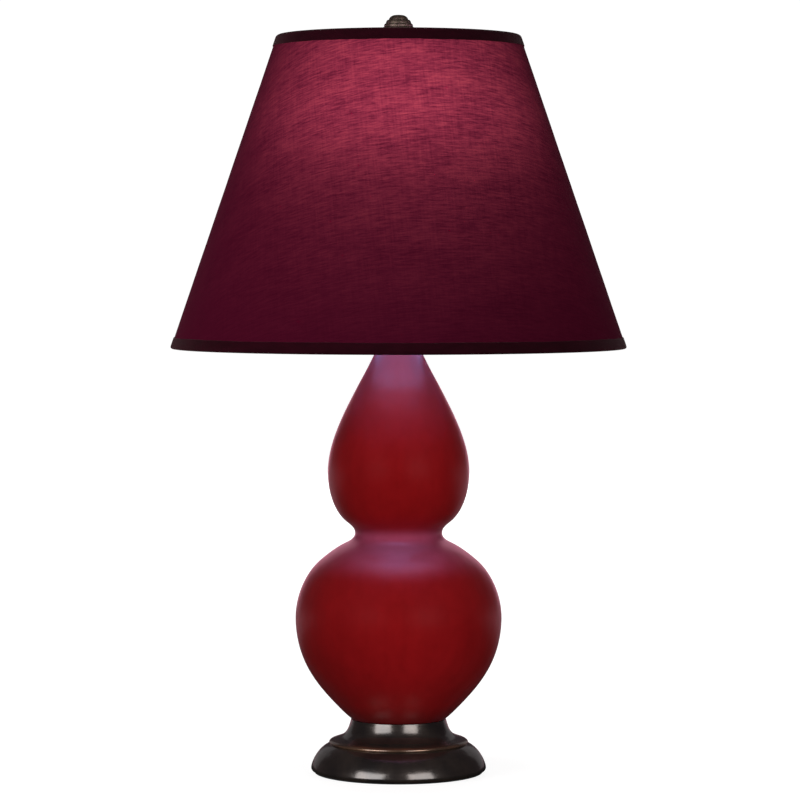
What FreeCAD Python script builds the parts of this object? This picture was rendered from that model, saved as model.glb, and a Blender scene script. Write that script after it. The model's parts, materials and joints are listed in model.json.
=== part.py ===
import FreeCAD, Part
import Sketcher
import math
import os
from FreeCAD import Vector, Placement, Rotation

# Double gourd table lamp.
# Millimetres, +Z up, origin at the middle of the underside of the felt pad, the user's side is -Y.

doc = FreeCAD.newDocument("double_gourd_lamp")
sheet = doc.addObject("Spreadsheet::Sheet", "Dims")

# ---------------------------------------------------------------- driving dimensions
# alias, value, what it is
TABLE = [
    # foot
    ("felt_thk", 1.2, "felt pad thickness"),
    ("felt_rad", 64.2, "felt pad radius"),
    ("foot_rad", 67.0, "largest radius of the foot"),
    ("foot_rim_in", 61.0, "inner radius of the foot's standing rim"),
    ("foot_seat_z", 40.2, "floor of the recess for the gasket"),
    ("foot_top_z", 40.9, "top of the foot's neck"),
    ("foot_top_rad", 36.3, "radius of the foot's neck at its top"),
    ("foot_roof_z", 36.0, "underside of the foot's roof"),
    ("gasket_rad", 33.8, "gasket radius"),
    ("gasket_top_z", 41.2, "top of the gasket, underside of the ceramic"),
    ("rod_clear", 5.35, "radius of the clearance holes for the rod"),
    ("bush_z", 9.2, "height of the cord outlet"),
    ("bush_hole", 4.9, "radius of the hole for the cord bushing"),
    ("bush_bore", 3.6, "radius of the bore for the cord"),
    # ballast and clamping
    ("ballast_low_z", 10.0, "underside of the ballast"),
    ("ballast_top_z", 21.0, "top of the ballast disc"),
    ("ballast_rad", 48.0, "radius of the ballast disc"),
    ("washer_thk", 1.8, "base washer"),
    ("lock_thk", 1.1, "lock washer"),
    ("nut_flats", 14.3, "across the flats of the rod nuts"),
    ("nut_thk", 4.8, "lower rod nut"),
    ("rod_rad", 4.95, "outer radius of the threaded rod"),
    ("rod_bore", 3.4, "bore of the threaded rod"),
    ("rod_low_z", 4.5, "lower end of the rod"),
    ("rod_top_z", 353.0, "upper end of the rod"),
    ("nut_bore", 4.97, "bore of what is screwed on the rod"),
    # gourd
    ("gourd_wall", 4.5, "wall of the ceramic"),
    ("gourd_floor", 6.0, "floor of the ceramic"),
    ("gourd_foot_rad", 35.4, "radius of the ceramic's underside"),
    ("gourd_hole", 6.5, "hole in the ceramic's floor"),
    ("gourd_lip_z", 333.0, "top of the ceramic"),
    ("gourd_mouth", 8.8, "inner radius of the ceramic's mouth"),
    # top fittings
    ("cap_rad", 16.5, "vase cap radius"),
    ("cap_top_z", 338.0, "vase cap top"),
    ("neck_rad", 8.6, "neck spacer radius"),
    ("neck_top_z", 343.0, "neck spacer top"),
    ("top_nut_thk", 3.6, "upper lock nut"),
    ("saddle_z", 346.7, "underside of the harp saddle"),
    ("saddle_thk", 1.6, "harp saddle strip"),
    ("saddle_half", 29.5, "half width of the saddle over its ears"),
    ("saddle_wide", 9.5, "width of the saddle strip"),
    ("saddle_ear_z", 365.0, "top of the saddle's ears"),
    ("saddle_shoulder_z", 353.5, "shoulder under the ferrules"),
    # lamp socket
    ("hub_rad", 8.5, "hub of the socket cap"),
    ("sock_low_z", 348.4, "underside of the socket cap"),
    ("sock_cap_rad", 17.3, "outer radius of the socket cap"),
    ("sock_rad", 16.3, "outer radius of the socket shell"),
    ("sock_wall", 0.6, "wall of the socket shell"),
    ("sock_top_z", 406.0, "top of the socket shell"),
    ("sleeve_wall", 0.7, "wall of the insulating sleeve"),
    ("inner_rad", 14.6, "radius of the socket interior"),
    ("inner_low_z", 366.0, "underside of the socket interior"),
    ("inner_top_z", 384.0, "top of the socket interior"),
    ("screw_shell_in", 13.45, "inner radius of the screw shell"),
    ("screw_shell_wall", 0.6, "wall of the screw shell"),
    ("screw_shell_top", 404.0, "top of the screw shell"),
    ("switch_z", 375.0, "height of the switch shaft"),
    ("shaft_rad", 2.0, "switch shaft radius"),
    ("knob_rad", 6.4, "switch knob radius"),
    ("knob_near", 24.5, "knob's inner end, from the axis"),
    ("knob_far", 37.5, "knob's outer end, from the axis"),
    # harp
    ("harp_wire_rad", 1.75, "harp wire radius"),
    ("harp_leg_x", 31.5, "harp legs, from the axis"),
    ("harp_low_z", 353.6, "lower ends of the harp legs"),
    ("harp_leg_top", 386.0, "top of the straight legs"),
    ("harp_top_z", 545.0, "wire centre at the top of the harp"),
    ("harp_bend_a", 50.0, "outward bend radius"),
    ("harp_bend_b", 105.0, "side bow radius"),
    ("harp_bend_c", 34.0, "shoulder radius"),
    ("harp_flat", 9.0, "half length of the straight top"),
    ("ferrule_rad", 4.4, "ferrule outer radius"),
    ("ferrule_bore", 3.5, "ferrule bore radius"),
    ("ferrule_x", 30.6, "ferrule axis, from the lamp's axis"),
    ("ferrule_low_z", 353.6, "ferrule's lower end"),
    ("ferrule_len", 13.0, "ferrule length"),
    ("plate_rad", 9.5, "harp's rest plate"),
    ("plate_top_z", 549.5, "top of the rest plate"),
    ("stud_rad", 3.15, "threaded stud radius"),
    ("stud_top_z", 565.0, "top of the stud"),
    # finial
    ("finial_low_z", 551.05, "underside of the finial"),
    ("finial_top_z", 578.0, "top of the finial"),
    ("finial_rad", 12.5, "largest radius of the finial"),
    ("finial_bore", 3.22, "threaded bore of the finial"),
    ("finial_bore_top", 566.5, "end of the finial's bore"),
    # shade
    ("shade_low_z", 324.7, "lower edge of the shade"),
    ("shade_top_z", 562.7, "upper edge of the shade"),
    ("shade_low_rad", 174.2, "outer radius at the lower edge"),
    ("shade_top_rad", 92.9, "outer radius at the upper edge"),
    ("trim_thk", 0.63, "trim tape, measured level"),
    ("trim_wide", 8.6, "height of the trim tape"),
    ("trim_turn", 5.6, "height of the trim tape inside"),
    ("fabric_thk", 0.53, "fabric, measured level"),
    ("liner_thk", 0.63, "liner, measured level"),
    ("ring_rad", 1.5, "radius of the ring wire"),
    ("spider_rad", 1.6, "radius of the spider's arms"),
    ("hub_out", 14.0, "spider hub radius"),
    ("hub_hole", 5.5, "hole of the spider hub"),
    ("hub_low_z", 549.55, "underside of the spider hub"),
    ("hub_thk", 1.4, "spider hub thickness"),
    ("arm_bend_x", 79.0, "where the spider's arms turn up"),
    ("arm_end_x", 88.6, "where the spider's arms meet the top ring"),
    ("arm_end_z", 559.4, "height of the arms' outer ends"),
    # bulb
    ("bulb_tip_z", 385.6, "tip contact of the bulb"),
    ("bulb_cap_rad", 13.1, "radius of the bulb's screw cap"),
    ("bulb_cap_low", 389.0, "lower end of the screw cap's wall"),
    ("bulb_cap_top", 409.0, "upper end of the screw cap's wall"),
    ("bulb_wall", 0.8, "glass wall"),
]

value = {}
for row, (alias, number, note) in enumerate(TABLE, start=1):
    sheet.set("A%d" % row, alias)
    sheet.set("B%d" % row, repr(number))
    sheet.set("C%d" % row, note)
    sheet.setAlias("B%d" % row, alias)
    value[alias] = float(number)

# Control points of the lathe profiles (radius, height), also in the sheet.
CURVES = {
    "lobe": [(36.7, 41.9), (40.21, 44.7), (46.5, 51.05), (55.74, 60.8), (64.14, 71.28), (71.11, 82.81),
             (75.95, 95.37), (78.59, 108.58), (79.28, 122.02), (77.01, 135.36), (72.03, 147.87), (64.49, 159.11),
             (53.93, 167.69), (43.24, 175.33), (33.3, 179.04), (33.3, 183.6)],
    "crown": [(33.3, 183.6), (33.3, 188.06), (41.75, 192.65), (48.88, 203.18), (52.96, 215.3), (54.47, 227.89),
              (53.64, 240.59), (50.7, 252.93), (46.35, 264.83), (41.21, 276.4), (35.49, 287.7), (29.66, 298.91),
              (23.44, 309.98), (18.1, 321.4), (13.68, 328.75), (13.3, 333.0)],
    "skirt": [(67.0, 3.6), (66.92, 5.24), (65.84, 8.4), (63.61, 12.77), (60.66, 16.78), (56.98, 20.08),
              (54.03, 21.62), (52.5, 22.2)],
    "ledge": [(52.5, 22.2), (53.7, 22.73), (52.92, 24.78), (50.08, 25.54), (47.56, 26.53), (44.87, 27.36),
              (42.45, 28.73), (40.36, 30.6), (38.91, 33.0), (37.87, 35.57), (37.03, 38.22), (36.55, 40.01),
              (36.3, 40.9)],
    "glass": [(12.3, 409.0), (13.61, 413.46), (16.2, 422.14), (21.64, 434.56), (26.91, 447.02), (30.31, 460.23),
              (30.0, 473.9), (24.76, 486.79), (13.74, 495.48), (4.47, 496.5), (0.0, 496.5)],
}
row = len(TABLE) + 1
for name, poles in CURVES.items():
    for k, (rr, zz) in enumerate(poles):
        for part, number in (("rad", rr), ("hgt", zz)):
            alias = "%s_%s_%02dp" % (name, part, k)
            sheet.set("A%d" % row, alias)
            sheet.set("B%d" % row, repr(number))
            sheet.setAlias("B%d" % row, alias)
            value[alias] = float(number)
            row += 1
doc.recompute()


# ---------------------------------------------------------------- expressions
# A size is written as a sum such as "foot_rad - 2*gourd_wall"; every name is a cell of the sheet.
def terms(text):
    sign, out = 1.0, []
    for token in str(text).split():
        if token == "+":
            sign = 1.0
        elif token == "-":
            sign = -1.0
        else:
            factor, cell = sign, None
            for piece in token.split("*"):
                if piece in value:
                    cell = piece
                elif piece.startswith("-") and piece[1:] in value:
                    factor, cell = -factor, piece[1:]
                else:
                    factor *= float(piece)
            out.append((factor, cell))
            sign = 1.0
    return out


def num(text):
    return sum(f * (value[c] if c else 1.0) for f, c in terms(text))


def bound(text):
    return " + ".join("%.6f * %s" % (f, "Dims." + c if c else "1") for f, c in terms(text))


def has_cell(text):
    return any(c for f, c in terms(text))


# ---------------------------------------------------------------- sketches
def plane_of(body, role):
    for item in body.Origin.OriginFeatures:
        if item.Role == role:
            return item
    raise ValueError(role)


def new_body(label):
    body = doc.addObject("PartDesign::Body", label)
    body.Label = label
    body.Placement = Placement(Vector(0, 0, 0), Rotation())
    return body


def new_sketch(body, name, role="XZ_Plane", offset=None):
    sk = body.newObject("Sketcher::SketchObject", body.Label + "_" + name)
    sk.AttachmentSupport = [(plane_of(body, role), "")]
    sk.MapMode = "FlatFace"
    if offset is not None:
        sk.AttachmentOffset = Placement(Vector(0, 0, num(offset)), Rotation())
        if has_cell(offset):
            sk.setExpression("AttachmentOffset.Base.z", bound(offset))
    return sk


def dimension(sk, kind, args, text):
    index = sk.addConstraint(Sketcher.Constraint(kind, *args, num(text)))
    if has_cell(text):
        sk.setExpression("Constraints[%d]" % index, bound(text))


def hold_point(sk, geo, pos, x, y):
    if abs(num(x)) < 1e-9:
        sk.addConstraint(Sketcher.Constraint("PointOnObject", geo, pos, -2))
    else:
        dimension(sk, "DistanceX", (-1, 1, geo, pos), x)
    if abs(num(y)) < 1e-9:
        sk.addConstraint(Sketcher.Constraint("PointOnObject", geo, pos, -1))
    else:
        dimension(sk, "DistanceY", (-1, 1, geo, pos), y)


def arc_through(p, q, radius, side):
    # minor arc from p to q; side +1 bulges to the left of p->q, -1 to the right
    chord = q - p
    half = chord.Length / 2
    mid = (p + q) * 0.5
    left = Vector(-chord.y, chord.x, 0).normalize()
    sag = radius - math.sqrt(max(radius * radius - half * half, 0.0))
    return Part.Arc(p, mid + left * (side * sag), q)


def curve_of(poles, closed=False):
    pts = [Vector(num(x), num(y), 0) for x, y in poles]
    n = len(pts)
    spline = Part.BSplineCurve()
    knots = [float(i) for i in range(n - 2)]
    mults = [4] + [1] * (n - 4) + [4]
    spline.buildFromPolesMultsKnots(pts, mults, knots, False, 3)
    return spline


def draw(sk, start, steps):
    """Closed outline. A step is (x, y) for a line, ("arc", (x, y), radius, side), or ("curve", poles)."""
    here = start
    first = None
    last = None
    for step in steps:
        extra = []
        p = Vector(num(here[0]), num(here[1]), 0)
        if step[0] == "arc":
            target = step[1]
            q = Vector(num(target[0]), num(target[1]), 0)
            geo = sk.addGeometry(arc_through(p, q, num(step[2]), step[3]), False)
            extra = [("Radius", (geo,), step[2])]
        elif step[0] == "curve":
            poles = step[1]
            target = poles[-1]
            geo = sk.addGeometry(curve_of(poles), False)
            before = sk.GeometryCount
            sk.exposeInternalGeometry(geo)
            rings = [i for i in range(before, sk.GeometryCount) if isinstance(sk.Geometry[i], Part.Circle)]
            for k in range(1, len(poles) - 1):
                hold_point(sk, rings[k], 3, poles[k][0], poles[k][1])
        else:
            target = step
            q = Vector(num(target[0]), num(target[1]), 0)
            geo = sk.addGeometry(Part.LineSegment(p, q), False)
        a, b = 1, 2
        if (sk.getPoint(geo, 1) - p).Length > (sk.getPoint(geo, 2) - p).Length:
            a, b = 2, 1
        for kind, args, text in extra:
            dimension(sk, kind, args, text)
        if last is not None:
            sk.addConstraint(Sketcher.Constraint("Coincident", last[0], last[1], geo, a))
        hold_point(sk, geo, a, here[0], here[1])
        if first is None:
            first = (geo, a)
        last = (geo, b)
        here = target
    sk.addConstraint(Sketcher.Constraint("Coincident", last[0], last[1], first[0], first[1]))
    return sk


def polygon(sk, points):
    return draw(sk, points[0], list(points[1:]) + [points[0]])


def ring(sk, x, y, radius):
    geo = sk.addGeometry(Part.Circle(Vector(num(x), num(y), 0), Vector(0, 0, 1), num(radius)), False)
    hold_point(sk, geo, 3, x, y)
    dimension(sk, "Radius", (geo,), radius)
    return geo


# ---------------------------------------------------------------- features
def revolve(body, name, start, steps, cut=False):
    sk = new_sketch(body, name + "_profile")
    draw(sk, start, steps)
    feature = body.newObject("PartDesign::Groove" if cut else "PartDesign::Revolution", body.Label + "_" + name)
    feature.Profile = sk
    feature.ReferenceAxis = (sk, ["V_Axis"])
    feature.Angle = 360
    sk.Visibility = False
    body.Tip = feature
    doc.recompute()
    return feature


def lathe(label, points):
    """A piece turned from one outline of straight lines."""
    body = new_body(label)
    revolve(body, "turned", points[0], list(points[1:]) + [points[0]])
    return body


def pad(body, name, sk, length, midplane=False, reverse=False):
    feature = body.newObject("PartDesign::Pad", body.Label + "_" + name)
    feature.Profile = sk
    feature.Length = num(length)
    if has_cell(length):
        feature.setExpression("Length", bound(length))
    if midplane:
        feature.SideType = "Symmetric"
    feature.Reversed = reverse
    body.Tip = feature
    doc.recompute()
    return feature


def pocket(body, name, sk, length, midplane=False, reverse=False):
    before = body.Shape.Volume
    feature = body.newObject("PartDesign::Pocket", body.Label + "_" + name)
    feature.Profile = sk
    feature.Length = num(length)
    if has_cell(length):
        feature.setExpression("Length", bound(length))
    if midplane:
        feature.SideType = "Symmetric"
    feature.Reversed = reverse
    body.Tip = feature
    doc.recompute()
    if not body.Shape.Volume < before - 1e-3:
        raise RuntimeError("nothing was cut: " + feature.Label)
    return feature


def round_edges(body, name, radius, pick, chamfer=False):
    """Rounds the edges of the tip that pick(edge) accepts."""
    base = body.Tip
    names = ["Edge%d" % (i + 1) for i, e in enumerate(base.Shape.Edges) if pick(e)]
    if not names:
        raise RuntimeError("no edge to round: " + body.Label + " " + name)
    feature = body.newObject("PartDesign::Chamfer" if chamfer else "PartDesign::Fillet", body.Label + "_" + name)
    feature.Base = (base, names)
    if chamfer:
        feature.Size = radius
    else:
        feature.Radius = radius
    body.Tip = feature
    doc.recompute()
    return feature


def level_circle(e, rad, z, tol=0.02):
    c = getattr(e, "Curve", None)
    return isinstance(c, Part.Circle) and abs(c.Radius - rad) < tol and abs(c.Center.z - z) < tol and abs(abs(c.Axis.z) - 1) < 1e-6


def poles_of(name):
    return [("%s_rad_%02dp" % (name, k), "%s_hgt_%02dp" % (name, k)) for k in range(len(CURVES[name]))]


def inner_poles(name, wall, skip_first=0, skip_last=0):
    """The curve one wall thickness inside a profile, written with the profile's own cells."""
    poles = CURVES[name]
    n = len(poles)
    spline = curve_of([(repr(a), repr(b)) for a, b in poles])
    out = []
    for k in range(n):
        knots = [0.0] * 4 + [float(i) for i in range(1, n - 3)] + [float(n - 3)] * 4
        t = (knots[k + 1] + knots[k + 2] + knots[k + 3]) / 3
        tangent = spline.tangent(t)[0]
        nx, nz = tangent.y, -tangent.x
        if k == 0 and name == "crown":
            nx, nz = 1.0, 0.0
        if k == n - 1 and name == "lobe":
            nx, nz = 1.0, 0.0
        out.append(("%s_rad_%02dp - %.4f*%s" % (name, k, nx, wall), "%s_hgt_%02dp - %.4f*%s" % (name, k, nz, wall)))
    return out[skip_first:n - skip_last]


made = []

# ================================================================ foot
# Cast foot: domed skirt, rounded ledge and cove neck outside, hollow underneath.
foot = new_body("base_foot")
revolve(foot, "casting", ("foot_rim_in", "felt_thk"),
        [("foot_rad - 1.8", "felt_thk"),
         ("arc", ("foot_rad", "skirt_hgt_00p"), 2.4, -1),
         ("curve", poles_of("skirt")),
         ("curve", poles_of("ledge")),
         ("gasket_rad + 0.2", "foot_top_z"),
         ("gasket_rad + 0.2", "foot_seat_z"),
         ("rod_clear", "foot_seat_z"),
         ("rod_clear", "foot_roof_z"),
         ("foot_top_rad - 3.4", "foot_roof_z"),
         ("foot_top_rad - 1.8", 31.0),
         ("foot_top_rad + 1.2", 26.6),
         ("foot_top_rad + 7.7", 23.2),
         ("foot_rad - 17.0", 19.2),
         ("foot_rad - 10.2", 14.6),
         ("foot_rad - 5.6", 8.8),
         ("foot_rad - 4.6", 4.6),
         ("foot_rim_in", "felt_thk")])
sk = new_sketch(foot, "outlet_profile")
ring(sk, 0, "bush_z", "bush_hole")
pocket(foot, "outlet", sk, 80)
made.append(foot)

# Felt pad on the standing rim.
felt = new_body("felt_pad")
sk = new_sketch(felt, "disc_profile", "XY_Plane")
ring(sk, 0, 0, "felt_rad")
pad(felt, "disc", sk, "felt_thk")
made.append(felt)

# Bushing of the cord outlet, in the back of the skirt: a barrel through the wall and a flange shaped to the skirt.
blank = new_body("cord_bushing_blank")
sk = new_sketch(blank, "barrel_profile", "XZ_Plane", "-67.6")
ring(sk, 0, "bush_z", "bush_hole - 0.05")
ring(sk, 0, "bush_z", "bush_bore")
pad(blank, "barrel", sk, 9.0)
sk = new_sketch(blank, "flange_profile", "XZ_Plane", "-67.9")
ring(sk, 0, "bush_z", "bush_hole + 1.1")
ring(sk, 0, "bush_z", "bush_bore")
pad(blank, "flange", sk, 5.6)
round_edges(blank, "lip", 0.5, lambda e: isinstance(e.Curve, Part.Circle) and abs(e.Curve.Center.y - 67.9) < 0.02)
bushing = doc.addObject("Part::Cut", "cord_bushing")
bushing.Base = blank
bushing.Tool = foot
bushing.Label = "cord_bushing"
bushing.Placement = Placement(Vector(0, 0, 0), Rotation())
doc.recompute()
made.append(bushing)

# Iron ballast hung from the foot's roof, with a channel for the cord at the back.
ballast = lathe("base_weight", [
    ("rod_clear", "foot_roof_z"), ("rod_clear", "ballast_low_z + 4.0"), (18.0, "ballast_low_z + 4.0"),
    (18.0, "ballast_low_z"), ("ballast_rad", "ballast_low_z"), ("ballast_rad", "ballast_top_z - 4.0"),
    ("ballast_rad - 5.0", "ballast_top_z"), (16.0, "ballast_top_z"), (13.0, "foot_roof_z")])
sk = new_sketch(ballast, "channel_profile")
polygon(sk, [(-5.0, "ballast_low_z - 1.0"), (5.0, "ballast_low_z - 1.0"), (5.0, "ballast_low_z + 6.0"),
             (-5.0, "ballast_low_z + 6.0")])
pocket(ballast, "channel", sk, "ballast_rad + 2.0")
made.append(ballast)

made.append(lathe("base_washer", [
    ("rod_clear", "ballast_low_z + 4.0"), ("rod_clear", "ballast_low_z + 4.0 - washer_thk"),
    (15.0, "ballast_low_z + 4.0 - washer_thk"), (15.0, "ballast_low_z + 4.0")]))

lock = lathe("lock_washer", [
    ("rod_clear", "ballast_low_z + 4.0 - washer_thk"), ("rod_clear", "ballast_low_z + 4.0 - washer_thk - lock_thk"),
    (8.2, "ballast_low_z + 4.0 - washer_thk - lock_thk"), (8.2, "ballast_low_z + 4.0 - washer_thk")])
sk = new_sketch(lock, "split_profile", "XY_Plane")
polygon(sk, [(-0.8, 4.0), (0.8, 4.0), (1.6, 9.5), (0.0, 9.5)])
pocket(lock, "split", sk, 30, reverse=True)
made.append(lock)


def hex_nut(label, low, thick, bore):
    body = new_body(label)
    sk = new_sketch(body, "hex_profile", "XY_Plane", low)
    polygon(sk, [("0.5*nut_flats", "0.288675*nut_flats"), (0, "0.57735*nut_flats"),
                 ("-0.5*nut_flats", "0.288675*nut_flats"), ("-0.5*nut_flats", "-0.288675*nut_flats"),
                 (0, "-0.57735*nut_flats"), ("0.5*nut_flats", "-0.288675*nut_flats")])
    ring(sk, 0, 0, bore)
    pad(body, "hex", sk, thick)
    # the corners are turned off at both ends
    revolve(body, "corners", ("0.5*nut_flats + 2.0", low + " - 1.0"),
            [("0.5*nut_flats + 2.0", low + " + 1.6"), ("0.5*nut_flats - 0.2", low + " - 0.02"),
             ("0.5*nut_flats - 0.2", low + " - 1.0"), ("0.5*nut_flats + 2.0", low + " - 1.0")], cut=True)
    return body


rod_nut = hex_nut("rod_nut", "ballast_low_z + 4.0 - washer_thk - lock_thk - nut_thk", "nut_thk", "nut_bore")
made.append(rod_nut)

gasket = lathe("foot_gasket", [
    (8.0, "foot_seat_z"), ("gasket_rad", "foot_seat_z"), ("gasket_rad", "gasket_top_z"), (8.0, "gasket_top_z")])
made.append(gasket)

# ================================================================ gourd
# Hollow double gourd: two lobes with a tight waist, a floor with a hole, an open mouth.
gourd = new_body("ceramic_body")
low_in = inner_poles("lobe", "gourd_wall", 2, 0)
top_in = inner_poles("crown", "gourd_wall", 1, 2)
inside = [("gourd_mouth", "gourd_lip_z")]
revolve(gourd, "thrown", ("gourd_hole", "gasket_top_z"),
        [("gourd_foot_rad", "gasket_top_z"),
         ("arc", ("lobe_rad_00p", "lobe_hgt_00p"), 1.6, -1),
         ("curve", poles_of("lobe")),
         ("curve", poles_of("crown")),
         ("gourd_mouth", "gourd_lip_z"),
         ("gourd_mouth", "crown_hgt_14p"),
         top_in[-1],
         ("curve", [top_in[-1]] + list(reversed(top_in[:-1])) + [low_in[-1]]),
         ("curve", [low_in[-1]] + list(reversed(low_in[:-1]))),
         ("gourd_foot_rad", "gasket_top_z + gourd_floor"),
         ("gourd_hole", "gasket_top_z + gourd_floor"),
         ("gourd_hole", "gasket_top_z")])
made.append(gourd)

# ================================================================ rod and top fittings
rod = new_body("threaded_rod")
sk = new_sketch(rod, "pipe_profile", "XY_Plane", "rod_low_z")
ring(sk, 0, 0, "rod_rad")
ring(sk, 0, 0, "rod_bore")
pad(rod, "pipe", sk, "rod_top_z - rod_low_z")
made.append(rod)

vase_cap = new_body("vase_cap")
revolve(vase_cap, "spun", ("rod_clear", "gourd_lip_z"),
        [("cap_rad - 1.0", "gourd_lip_z"), ("cap_rad - 1.0", "gourd_lip_z - 3.4"), ("cap_rad", "gourd_lip_z - 3.4"),
         ("cap_rad", "gourd_lip_z + 0.8"), ("arc", ("neck_rad + 1.0", "cap_top_z"), 9.0, -1),
         ("rod_clear", "cap_top_z"), ("rod_clear", "gourd_lip_z")])
made.append(vase_cap)

spacer = new_body("neck_spacer")
revolve(spacer, "turned", ("rod_clear", "cap_top_z"),
        [("neck_rad", "cap_top_z"), ("neck_rad", "cap_top_z + 1.0"),
         ("arc", ("neck_rad", "neck_top_z - 1.0"), 2.6, 1),
         ("neck_rad", "neck_top_z"), ("rod_clear", "neck_top_z"), ("rod_clear", "cap_top_z")])
made.append(spacer)

top_nut = hex_nut("top_lock_nut", "neck_top_z + 0.05", "top_nut_thk", "nut_bore")
made.append(top_nut)

# Saddle: a strip bent up at both ends into ears that the harp hooks beside.
saddle = new_body("harp_saddle")
sk = new_sketch(saddle, "strip_profile")
polygon(sk, [("-saddle_half", "saddle_z"), ("saddle_half", "saddle_z"), ("saddle_half", "saddle_ear_z"),
             ("saddle_half - saddle_thk", "saddle_ear_z"), ("saddle_half - saddle_thk", "saddle_z + saddle_thk"),
             ("-saddle_half + saddle_thk", "saddle_z + saddle_thk"), ("-saddle_half + saddle_thk", "saddle_ear_z"),
             ("-saddle_half", "saddle_ear_z")])
pad(saddle, "strip", sk, "saddle_wide", midplane=True)
sk = new_sketch(saddle, "boss_profile", "XY_Plane", "saddle_z")
ring(sk, 0, 0, "rod_clear + 3.4")
pad(saddle, "boss", sk, "saddle_thk")
sk = new_sketch(saddle, "bore_profile", "XY_Plane", "saddle_z - 1.0")
ring(sk, 0, 0, "rod_clear")
pocket(saddle, "bore", sk, "saddle_thk + 2.0", reverse=True)
sk = new_sketch(saddle, "ears_profile", "YZ_Plane")
for side in (1, -1):
    s = "" if side > 0 else "-"
    polygon(sk, [(2.1 * side, "saddle_shoulder_z"), (6.0 * side, "saddle_shoulder_z"),
                 (6.0 * side, "saddle_ear_z + 1.0"), (2.1 * side, "saddle_ear_z + 1.0")])
pocket(saddle, "ears", sk, "2*saddle_half + 4.0", midplane=True)
round_edges(saddle, "bends", 1.2, lambda e: abs(e.Length - num("saddle_wide")) < 0.01 and
            abs(abs(e.CenterOfMass.x) - num("saddle_half")) < 0.01 and abs(e.CenterOfMass.z - num("saddle_z")) < 0.01)
made.append(saddle)

# ================================================================ lamp socket
cap = new_body("socket_cap")
revolve(cap, "drawn", ("nut_bore", "sock_low_z"),
        [("hub_rad", "sock_low_z"), ("hub_rad", "sock_low_z + 6.0"),
         ("arc", ("sock_cap_rad", "sock_low_z + 14.6"), 10.0, 1),
         ("sock_cap_rad", "sock_low_z + 21.0"), ("sock_rad + 0.15", "sock_low_z + 21.0"),
         ("sock_rad + 0.15", "sock_low_z + 15.0"),
         ("arc", ("hub_rad - 0.9", "sock_low_z + 7.2"), 9.4, -1),
         ("nut_bore", "sock_low_z + 7.2"), ("nut_bore", "sock_low_z")])
sk = new_sketch(cap, "screw_profile")
ring(sk, 0, "sock_low_z + 3.2", 1.65)
pocket(cap, "screw_hole", sk, 12)
made.append(cap)

# Set screw in the hub's back, its point on the rod.
grub = new_body("socket_set_screw")
sk = new_sketch(grub, "shank_profile", "XZ_Plane", "-rod_rad - 5.6")
ring(sk, 0, "sock_low_z + 3.2", 1.6)
pad(grub, "shank", sk, 5.55)
sk = new_sketch(grub, "head_profile", "XZ_Plane", "-rod_rad - 5.6")
ring(sk, 0, "sock_low_z + 3.2", 2.6)
pad(grub, "head", sk, 1.6)
sk = new_sketch(grub, "slot_profile", "XZ_Plane", "-rod_rad - 5.6")
polygon(sk, [(-3.0, "sock_low_z + 2.9"), (3.0, "sock_low_z + 2.9"), (3.0, "sock_low_z + 3.5"), (-3.0, "sock_low_z + 3.5")])
pocket(grub, "slot", sk, 0.7, reverse=True)
made.append(grub)

# Shell with a rolled lip; an opening at the front for the switch shaft.
shell = new_body("socket_shell")
revolve(shell, "drawn", ("sock_rad - sock_wall", "sock_low_z + 15.4"),
        [("sock_rad", "sock_low_z + 15.4"), ("sock_rad", "sock_top_z - 1.6"),
         ("arc", ("sock_rad - sock_wall", "sock_top_z - 1.6"), 0.8, -1),
         ("sock_rad - sock_wall", "sock_low_z + 15.4")])
sk = new_sketch(shell, "opening_profile")
ring(sk, 0, "switch_z", "shaft_rad + 1.4")
pocket(shell, "opening", sk, 30, reverse=True)
made.append(shell)

sleeve = lathe("insulating_sleeve", [
    ("sock_rad - sock_wall - 0.1 - sleeve_wall", "sock_low_z + 16.4"), ("sock_rad - sock_wall - 0.1", "sock_low_z + 16.4"),
    ("sock_rad - sock_wall - 0.1", "sock_top_z - 2.4"), ("sock_rad - sock_wall - 0.1 - sleeve_wall", "sock_top_z - 2.4")])
sk = new_sketch(sleeve, "opening_profile")
ring(sk, 0, "switch_z", "shaft_rad + 1.0")
pocket(sleeve, "opening", sk, 30, reverse=True)
made.append(sleeve)

# Moulded interior: holds the screw shell on top, the switch inside, the terminals at its sides.
inner = lathe("socket_interior", [
    (0, "inner_low_z"), ("inner_rad - 2.0", "inner_low_z"), ("inner_rad", "inner_low_z + 2.0"),
    ("inner_rad", "inner_top_z"), (0, "inner_top_z")])
sk = new_sketch(inner, "shaft_profile")
ring(sk, 0, "switch_z", "shaft_rad + 0.05")
pocket(inner, "shaft_bore", sk, 20, reverse=True)
sk = new_sketch(inner, "flats_profile", "XY_Plane", "inner_low_z - 1.0")
for side in (1, -1):
    polygon(sk, [(11.6 * side, -6.0), (16.0 * side, -6.0), (16.0 * side, 6.0), (11.6 * side, 6.0)])
pocket(inner, "flats", sk, 13.0, reverse=True)
made.append(inner)

made.append(lathe("screw_shell", [
    (7.0, "inner_top_z"), ("screw_shell_in + screw_shell_wall", "inner_top_z"),
    ("screw_shell_in + screw_shell_wall", "screw_shell_top"), ("screw_shell_in", "screw_shell_top"),
    ("screw_shell_in", "inner_top_z + 0.6"), (7.0, "inner_top_z + 0.6")]))

contact = new_body("centre_contact")
sk = new_sketch(contact, "tongue_profile")
polygon(sk, [(-5.5, "inner_top_z"), (2.0, "inner_top_z"), (4.5, "inner_top_z + 0.9"), (4.5, "inner_top_z + 1.5"),
             (-1.0, "inner_top_z + 1.5"), (-2.2, "inner_top_z + 0.6"), (-5.5, "inner_top_z + 0.6")])
pad(contact, "tongue", sk, 4.0, midplane=True)
made.append(contact)

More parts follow.
